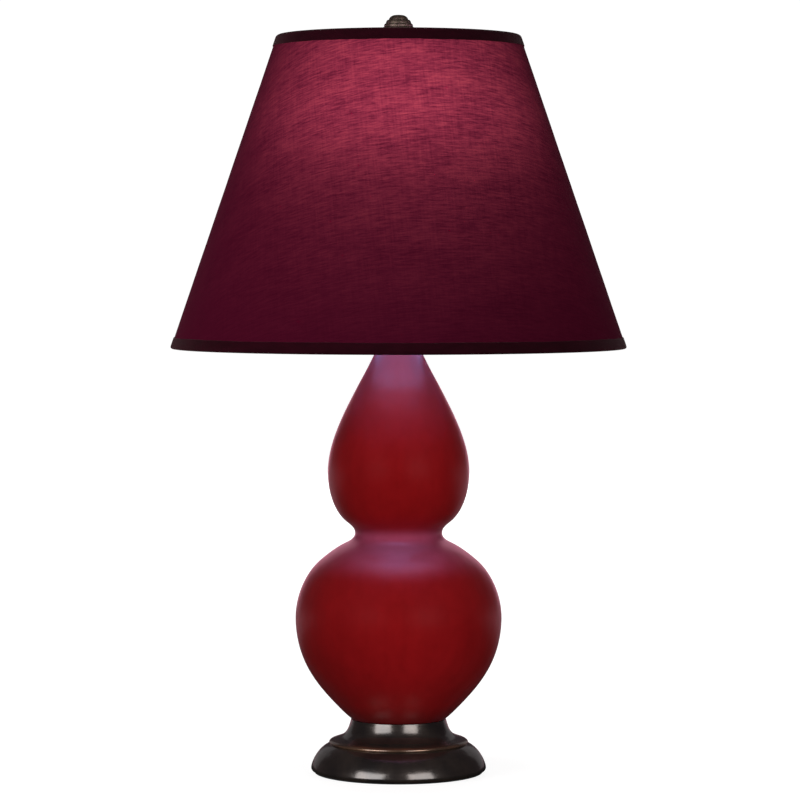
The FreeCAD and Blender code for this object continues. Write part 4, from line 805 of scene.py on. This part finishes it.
def flat_cut(r, z, a):
    """Where a point of the cone lies on the flat cut, in metres: the weft runs along x."""
    reach = r / math.sin(SLOPE)
    turn = (a - CUT_MIDDLE) * math.sin(SLOPE)
    return (reach * math.sin(turn) * MM, -reach * math.cos(turn) * MM)


LAP = 9.0  # mm of glued side seam
low, top = EDGE_LOW + 2.0, EDGE_TOP - 2.0
cloth_rows = even([(wall_r(low, 0.66), low), (wall_r(top, 0.66), top)], 3.0)


def wrapped(i, r, z, a):
    """Spreads the cut round the cone with its side seam lapped at the back, and lets slubs lift it a little."""
    share = (a - CUT_MIDDLE) / math.pi  # -1 to 1 round the cut
    angle = CUT_MIDDLE + share * (math.pi + LAP / 2 / r)
    from_end = (1 - share) * (math.pi + LAP / 2 / r) * r
    lifted = 0.50 * (1 - smooth_step(from_end, LAP, LAP + 5.0))
    slack = 0.05 * math.sin(7 * a + z * 0.05) * math.sin(z * 0.11 + 2 * a)
    return r + lifted + slack * smooth_step(z, low, low + 20) * (1 - smooth_step(z, top - 20, top)), z, angle


cloth = lathe(
    "shade_cloth",
    cloth_rows,
    420,
    start=math.degrees(CUT_MIDDLE - math.pi),
    sweep=359.998,
    bend=wrapped,
    flat=flat_cut,
)
place(cloth, "shade", "shade_fabric", "shade_fabric")

liner_low, liner_top = EDGE_LOW + 1.8, EDGE_TOP - 1.8


def lining_wrap(i, r, z, a):
    share = (a - CUT_MIDDLE) / math.pi
    angle = CUT_MIDDLE + share * (math.pi + 3.0 / r)
    from_start = (share + 1) * (math.pi + 3.0 / r) * r
    return r - 0.3 * (1 - smooth_step(from_start, 6.0, 10.0)), z, angle


lining = lathe(
    "shade_lining",
    even([(wall_r(liner_top, 1.5), liner_top), (wall_r(liner_low, 1.5), liner_low)], 6.0),
    240,
    start=math.degrees(CUT_MIDDLE - math.pi),
    sweep=359.998,
    bend=lining_wrap,
    flat=flat_cut,
)
place(lining, "shade", "shade_liner", "shade_liner")
lining.visible_shadow = False  # the lamp's light reaches the cloth behind it
lining.visible_diffuse = False


def tape(name, edge_z, up, stands_for):
    """Tape folded over a ring: a wide leg outside, round the edge and a shorter leg inside. up is 1 at the lower edge and -1 at the upper one."""
    wide, turn, thick, fold = 8.6, 5.6, 0.60, 5.645

    def at(inset, rise):
        z = edge_z + up * rise
        return (wall_r(z, inset), z)

    outer = [(0.02, wide, 0.28), (0.0, 0.0, 2.1), (fold, 0.0, 2.1), (fold, turn, 0.26)]
    inner = [(fold - thick, turn, 0.26), (fold - thick, thick, 1.5), (thick, thick, 1.5), (thick + 0.02, wide, 0.28)]
    ring = rounded(outer + inner, closed=True, steps=5)
    # extra rings on the long outside leg, for its ribs and its slightly uneven edge
    fine = []
    for k, p in enumerate(ring):
        q = ring[(k + 1) % len(ring)]
        n = max(1, int(round(math.hypot(q[0] - p[0], q[1] - p[1]) / 1.1)))
        fine.extend((p[0] + (q[0] - p[0]) * t / n, p[1] + (q[1] - p[1]) * t / n) for t in range(n))
    shape = np.array([at(*p) for p in fine])
    tangent = np.roll(shape, -1, 0) - np.roll(shape, 1, 0)
    tangent /= np.hypot(tangent[:, 0], tangent[:, 1])[:, None]
    area = 0.5 * np.sum(shape[:, 0] * np.roll(shape[:, 1], -1) - np.roll(shape[:, 0], -1) * shape[:, 1])
    side = 1.0 if area > 0 else -1.0
    normal = side * np.stack([tangent[:, 1], -tangent[:, 0]], 1)
    order = range(len(fine)) if area > 0 else range(len(fine) - 1, -1, -1)
    shape, normal, local = shape[list(order)], normal[list(order)], [fine[k] for k in order]
    total, lap = 2 * math.pi, 9.0 / wall_r(edge_z)

    def wave(i, r, z, a):
        share = (a - SEAM) / total
        angle = SEAM + 0.05 + share * (total + lap)
        seam_lift = 0.50 * (1 - smooth_step(abs((a - SEAM + math.pi) % total - math.pi) * r, 6.0, 12.0))
        own_lift = 0.64 * smooth_step(share * (total + lap) * r, total * r - 3.0, total * r + 1.0)
        edge = smooth_step(local[i][1], 6.0, wide) if local[i][0] < 1.0 else 0.0
        rise = up * edge * (0.10 * math.sin(9 * a + 0.7) + 0.07 * math.sin(23 * a + 2.0) + 0.04 * math.sin(51 * a))
        lift = own_lift + (seam_lift if local[i][0] < 1.0 else 0.0)
        return r + normal[i][0] * lift - rise * LEAN, z + normal[i][1] * own_lift + rise, angle

    ob = lathe(name, [tuple(p) for p in shape.tolist()], 300, closed=True, start=math.degrees(SEAM), sweep=359.998, bend=wave, sharp=60)
    return place(ob, "shade", "trim_tape", stands_for)


low_tape = tape("shade_tape_low", EDGE_LOW, 1, "shade_bottom_trim")
top_tape = tape("shade_tape_top", EDGE_TOP, -1, "shade_top_trim")

# ---------------------------------------------------------------- bulb
GLASS = [(12.3, 409.0), (13.61, 413.46), (16.2, 422.14), (21.64, 434.56), (26.91, 447.02), (30.31, 460.23), (30.0, 473.9), (24.76, 486.79), (13.74, 495.48), (4.47, 496.5), (0, 496.5)]
glass_line = join([(12.3, 405.5)], even(spline(GLASS, 10), 1.6))
glass_line[-1] = (0.0, glass_line[-1][1])
bulb = lathe("frosted_bulb", glass_line, 128)
place(bulb, "bulb", "bulb_glass", "bulb_glass")
bulb.visible_shadow = False
bulb.visible_diffuse = False


def threaded(crest, root, pitch, low, high, run=0.8):
    """bend() for a lathe whose points at the crest radius become a right-hand rolled thread between two heights."""

    def bend(i, r, z, a):
        if abs(r - crest) < 0.02 and low <= z <= high:
            phase = ((z - low) / pitch - a / (2 * math.pi)) % 1.0
            depth = 0.5 + 0.5 * math.cos(2 * math.pi * phase)
            fade = smooth_step(z, low, low + run) * (1 - smooth_step(z, high - run, high))
            return crest - (crest - root) * (1 - depth) * fade, z, a
        return r, z, a

    return bend


cap_profile = join(
    [(12.5, 389.0), (13.0, 389.0)],
    [(13.1, 389.3 + 0.28 * k) for k in range(68)],
    [(13.05, 408.5), (12.7, 409.0), (12.45, 409.0), (12.45, 389.2)],
)
cap = lathe("threaded_bulb_cap", cap_profile, 96, closed=True, bend=threaded(13.1, 12.45, 3.63, 389.6, 406.6, 1.2), sharp=70)
place(cap, "bulb", "bulb_cap", "bulb_cap")

# ---------------------------------------------------------------- harp's stud
stud_profile = join(
    [(0.0, 540.4)],
    rounded([(0.0, 540.4), (4.6, 540.4, 0.5), (4.6, 547.0), (4.6, 547.3)], steps=4)[1:],
    rounded([(4.6, 547.3), (9.5, 547.5, 0.4), (9.5, 549.5, 0.4), (3.15, 549.5), (3.15, 549.6)], steps=4),
    [(3.15, 549.8 + 0.11 * k) for k in range(134)],
    [(2.95, 564.7), (2.6, 565.0), (0.0, 565.0)],
)
stud = lathe("threaded_stud", stud_profile, 64, bend=threaded(3.15, 2.72, 0.94, 550.2, 564.4, 0.6), sharp=50)
place(stud, "lamp_body", "brass", "harp_stud")

for hidden_shadow in ("bulb_stem", "bulb_filament"):
    NODES[hidden_shadow].visible_shadow = False

# ---------------------------------------------------------------- studio
scene = bpy.context.scene
scene.view_settings.view_transform = "Standard"
scene.view_settings.look = "None"
scene.view_settings.exposure = 0.0
scene.view_settings.gamma = 1.0

world = bpy.data.worlds.new("studio")
scene.world = world
world.use_nodes = True
wt = world.node_tree
wt.nodes.clear()
out = wt.nodes.new("ShaderNodeOutputWorld")
path = wt.nodes.new("ShaderNodeLightPath")
seen = wt.nodes.new("ShaderNodeBackground")
seen.inputs["Color"].default_value = (1.0, 1.0, 1.0, 1.0)
seen.inputs["Strength"].default_value = 1.05
shine = wt.nodes.new("ShaderNodeBackground")
shine.inputs["Color"].default_value = (1.0, 0.72, 0.82, 1.0)
shine.inputs["Strength"].default_value = 0.05
fill = wt.nodes.new("ShaderNodeBackground")
fill.inputs["Color"].default_value = (1.0, 1.0, 1.0, 1.0)
fill.inputs["Strength"].default_value = 0.025
first, second = wt.nodes.new("ShaderNodeMixShader"), wt.nodes.new("ShaderNodeMixShader")
wt.links.new(path.outputs["Is Glossy Ray"], first.inputs["Fac"])
wt.links.new(fill.outputs[0], first.inputs[1])
wt.links.new(shine.outputs[0], first.inputs[2])
wt.links.new(path.outputs["Is Camera Ray"], second.inputs["Fac"])
wt.links.new(first.outputs[0], second.inputs[1])
wt.links.new(seen.outputs[0], second.inputs[2])
wt.links.new(second.outputs[0], out.inputs["Surface"])
world.cycles.sampling_method = "NONE"

floor_shader = Shader("pale_floor")
at = floor_shader.coords()
tone = floor_shader.noise(at, 3.0, 3.0, 0.5)
pale = floor_shader.mix(floor_shader.remap(tone, 0.3, 0.7), (0.30, 0.30, 0.30), (0.32, 0.32, 0.32))
fx, fy, _ = floor_shader.split(at)
away = floor_shader.math("SQRT", floor_shader.math("ADD", floor_shader.math("MULTIPLY", fx, fx), floor_shader.math("MULTIPLY", fy, fy)))
# Painted contact shadow: the floor gives off less light near the lamp.
painted_contact_shade = floor_shader.remap(away, 0.07, 0.30, 0.90, 1.02, "SMOOTHSTEP")
lit = floor_shader.principled(Base_Color=pale, Roughness=0.9, Specular_IOR_Level=0.0, Emission_Color=(1, 1, 1), Emission_Strength=painted_contact_shade)
rays = floor_shader.node("ShaderNodeLightPath")
mirrored = floor_shader.math("MULTIPLY", rays.outputs["Is Glossy Ray"], floor_shader.remap(fy, 0.20, 0.80, 0.0, 0.42, "SMOOTHSTEP"))
matt = floor_shader.node("ShaderNodeBsdfDiffuse", {"Color": (0.05, 0.05, 0.05)}).outputs[0]
bright = floor_shader.node("ShaderNodeEmission", {"Color": (1.0, 0.50, 0.60), "Strength": mirrored}).outputs[0]
dim = floor_shader.node("ShaderNodeAddShader")
floor_shader.feed(dim.inputs[0], matt)
floor_shader.feed(dim.inputs[1], bright)
dim = dim.outputs[0]
both = floor_shader.node("ShaderNodeMixShader")
floor_shader.feed(both.inputs["Fac"], rays.outputs["Is Camera Ray"])
floor_shader.feed(both.inputs[1], dim)
floor_shader.feed(both.inputs[2], lit)
floor_shader.finish(both.outputs[0])
rings, ring_faces, ring_points = [0.4, 1.2, 4.0, 14.0, 60.0], [], [(0.0, 0.0, 0.0)]
for radius in rings:
    ring_points += [(radius / MM * math.cos(2 * math.pi * k / 96), radius / MM * math.sin(2 * math.pi * k / 96), 0.0) for k in range(96)]
for n in range(len(rings)):
    for k in range(96):
        a, b = 1 + n * 96 + k, 1 + n * 96 + (k + 1) % 96
        ring_faces.append([0, a, b] if n == 0 else [a - 96, a, b, b - 96])
floor = mesh_object("floor", ring_points, ring_faces)
floor.data.materials.append(floor_shader.material)


def aim(ob, target):
    ob.rotation_euler = (Vector(target) - ob.location).to_track_quat("-Z", "Y").to_euler()


def softbox(name, azimuth, distance, height, size, power, glossy=True, colour=(1, 1, 1), look_at=(0, 0, 0.22)):
    """A rectangular light, at an azimuth in degrees from the front, positive to the right."""
    data = bpy.data.lights.new(name, "AREA")
    data.shape = "RECTANGLE"
    data.size, data.size_y = size
    data.energy = power
    data.color = colour
    ob = bpy.data.objects.new(name, data)
    scene.collection.objects.link(ob)
    a = math.radians(azimuth)
    ob.location = (distance * math.sin(a), -distance * math.cos(a), height)
    aim(ob, look_at)
    ob.visible_camera = False
    ob.visible_glossy = glossy
    return ob


METAL_SLOTS = ("foot_bronze", "ballast_iron", "steel", "brass", "bronze_fittings", "finial_bronze", "bulb_cap", "tungsten")
metals, glazed, cloths = (bpy.data.collections.new(n) for n in ("lit_metals", "lit_glaze", "lit_shade"))
for ob in [base, finial, stud, cap] + [ob for node, ob in NODES.items() if SLOT_OF[node] in METAL_SLOTS]:
    metals.objects.link(ob)
glazed.objects.link(gourd)
for ob in [cloth, lining, low_tape, top_tape, bulb, floor] + [ob for node, ob in NODES.items() if SLOT_OF[node] not in METAL_SLOTS]:
    cloths.objects.link(ob)
inside_shade = bpy.data.collections.new("lit_by_bulb")
for member in (metals, cloths):
    for ob in member.objects:
        inside_shade.objects.link(ob)


def only_on(light, group):
    light.light_linking.receiver_collection = group
    return light


# The dark metal needs brighter boxes than the glaze and the cloth to show the same soft highlights.
for side, azimuth, distance, wide, on_metal, on_cloth, on_glaze in (
    ("left", -39, 1.8, 1.26, 6.6, 0.05, 0.09),
    ("right", 30, 1.8, 1.06, 5.4, 0.05, 0.10),
    ("back_left", -150, 2.2, 1.1, 0.15, 0.30, 0.12),
    ("back_right", 152, 2.2, 1.1, 0.15, 0.30, 0.12),
):
    for word, group, radiance, tall, middle, tint in (
        ("metal", metals, on_metal, 1.15, 0.58, (1, 1, 1)),
        ("cloth", cloths, on_cloth, 1.6, 0.92, (1, 1, 1)),
        ("glaze", glazed, on_glaze, 1.6, 0.92, (1.0, 0.42, 0.60)),
    ):
        box = softbox("box_%s_%s" % (word, side), azimuth, distance, middle, (wide, tall), radiance * math.pi * wide * tall, colour=tint, look_at=(0, 0, middle / 2))
        only_on(box, group)
for side, azimuth, on_cloth, on_glaze in (("left", -58, 64.0, 0.3), ("mid_left", -29, 5.0, 35.0), ("mid_right", 30, 5.0, 33.0), ("right", 52, 32.0, 0.5), ("behind", 180, 57.0, 45.0)):
    only_on(softbox("fill_cloth_" + side, azimuth, 3.4, 1.0, (1.8, 1.6), on_cloth, glossy=False, look_at=(0, 0, 0.40)), cloths)
    only_on(softbox("fill_glaze_" + side, azimuth, 3.4, 0.62, (1.8, 1.2), on_glaze, glossy=False, look_at=(0, 0, 0.15)), glazed)

# The bright backdrop's grazing reflection along the pot's outline.
for side, azimuth in (("left", -167), ("right", 167)):
    rim = softbox("rim_glaze_" + side, azimuth, 2.2, 0.10, (0.85, 2.8), 1.25 * math.pi * 0.85 * 2.8, colour=(1.0, 0.42, 0.56), look_at=(0, 0, 0.10))
    rim.data.use_shadow = False
    rim.visible_diffuse = False
    only_on(rim, glazed)

# The lit lining's soft sheen on the neck and shoulders of the glaze, beyond what the lining itself gives.
for name, height, radius, radiance, tint in (
    ("sheen_neck", 0.345, 0.070, 1.9, (0.82, 1.02, 2.45)),
    ("sheen_shoulder", 0.222, 0.040, 1.8, (0.8, 0.50, 1.05)),
):
    sheen = bpy.data.lights.new(name, "AREA")
    sheen.shape, sheen.size = "DISK", 2 * radius
    sheen.color = tint
    sheen.energy = radiance * (math.pi * radius) ** 2
    sheen.use_shadow = False
    ob = bpy.data.objects.new(name, sheen)
    scene.collection.objects.link(ob)
    ob.location = (0, 0, height)
    ob.visible_camera = False
    ob.visible_diffuse = False
    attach(ob, "lamp_body")
    only_on(ob, glazed)


def lamp(name, kind, height, watts, radius):
    """A light in the bulb. A spot shines upwards from its height, fading out towards the level."""
    data = bpy.data.lights.new(name, kind)
    data.energy = watts
    data.color = (1.0, 0.97, 0.95)
    data.shadow_soft_size = radius
    if kind == "SPOT":
        data.spot_size = math.pi
        data.spot_blend = 0.5
    ob = bpy.data.objects.new(name, data)
    scene.collection.objects.link(ob)
    ob.location = (0, 0, height)
    ob.rotation_euler = (math.pi, 0, 0)
    return ob


up = lamp("bulb_upward", "SPOT", 0.440, 1.08, 0.016)
low_glow = lamp("bulb_low", "SPOT", 0.412, 0.14, 0.010)
crown_glow = lamp("bulb_crown", "SPOT", 0.474, 0.58, 0.020)
around = lamp("bulb_around", "POINT", 0.466, 0.80, 0.026)
for ob in (up, low_glow, crown_glow, around):
    ob.visible_camera = False
    ob.visible_glossy = False
    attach(ob, "bulb")
    only_on(ob, inside_shade)

camera_data = bpy.data.cameras.new("camera")
camera_data.lens = 153.0
camera_data.sensor_width = 36.0
camera_data.clip_start, camera_data.clip_end = 0.05, 200.0
camera = bpy.data.objects.new("camera", camera_data)
scene.collection.objects.link(camera)
camera.location = (0.0011, -2.59295, 0.39730)
camera.rotation_euler = (math.radians(90 - 2.4757), 0, 0)
scene.camera = camera
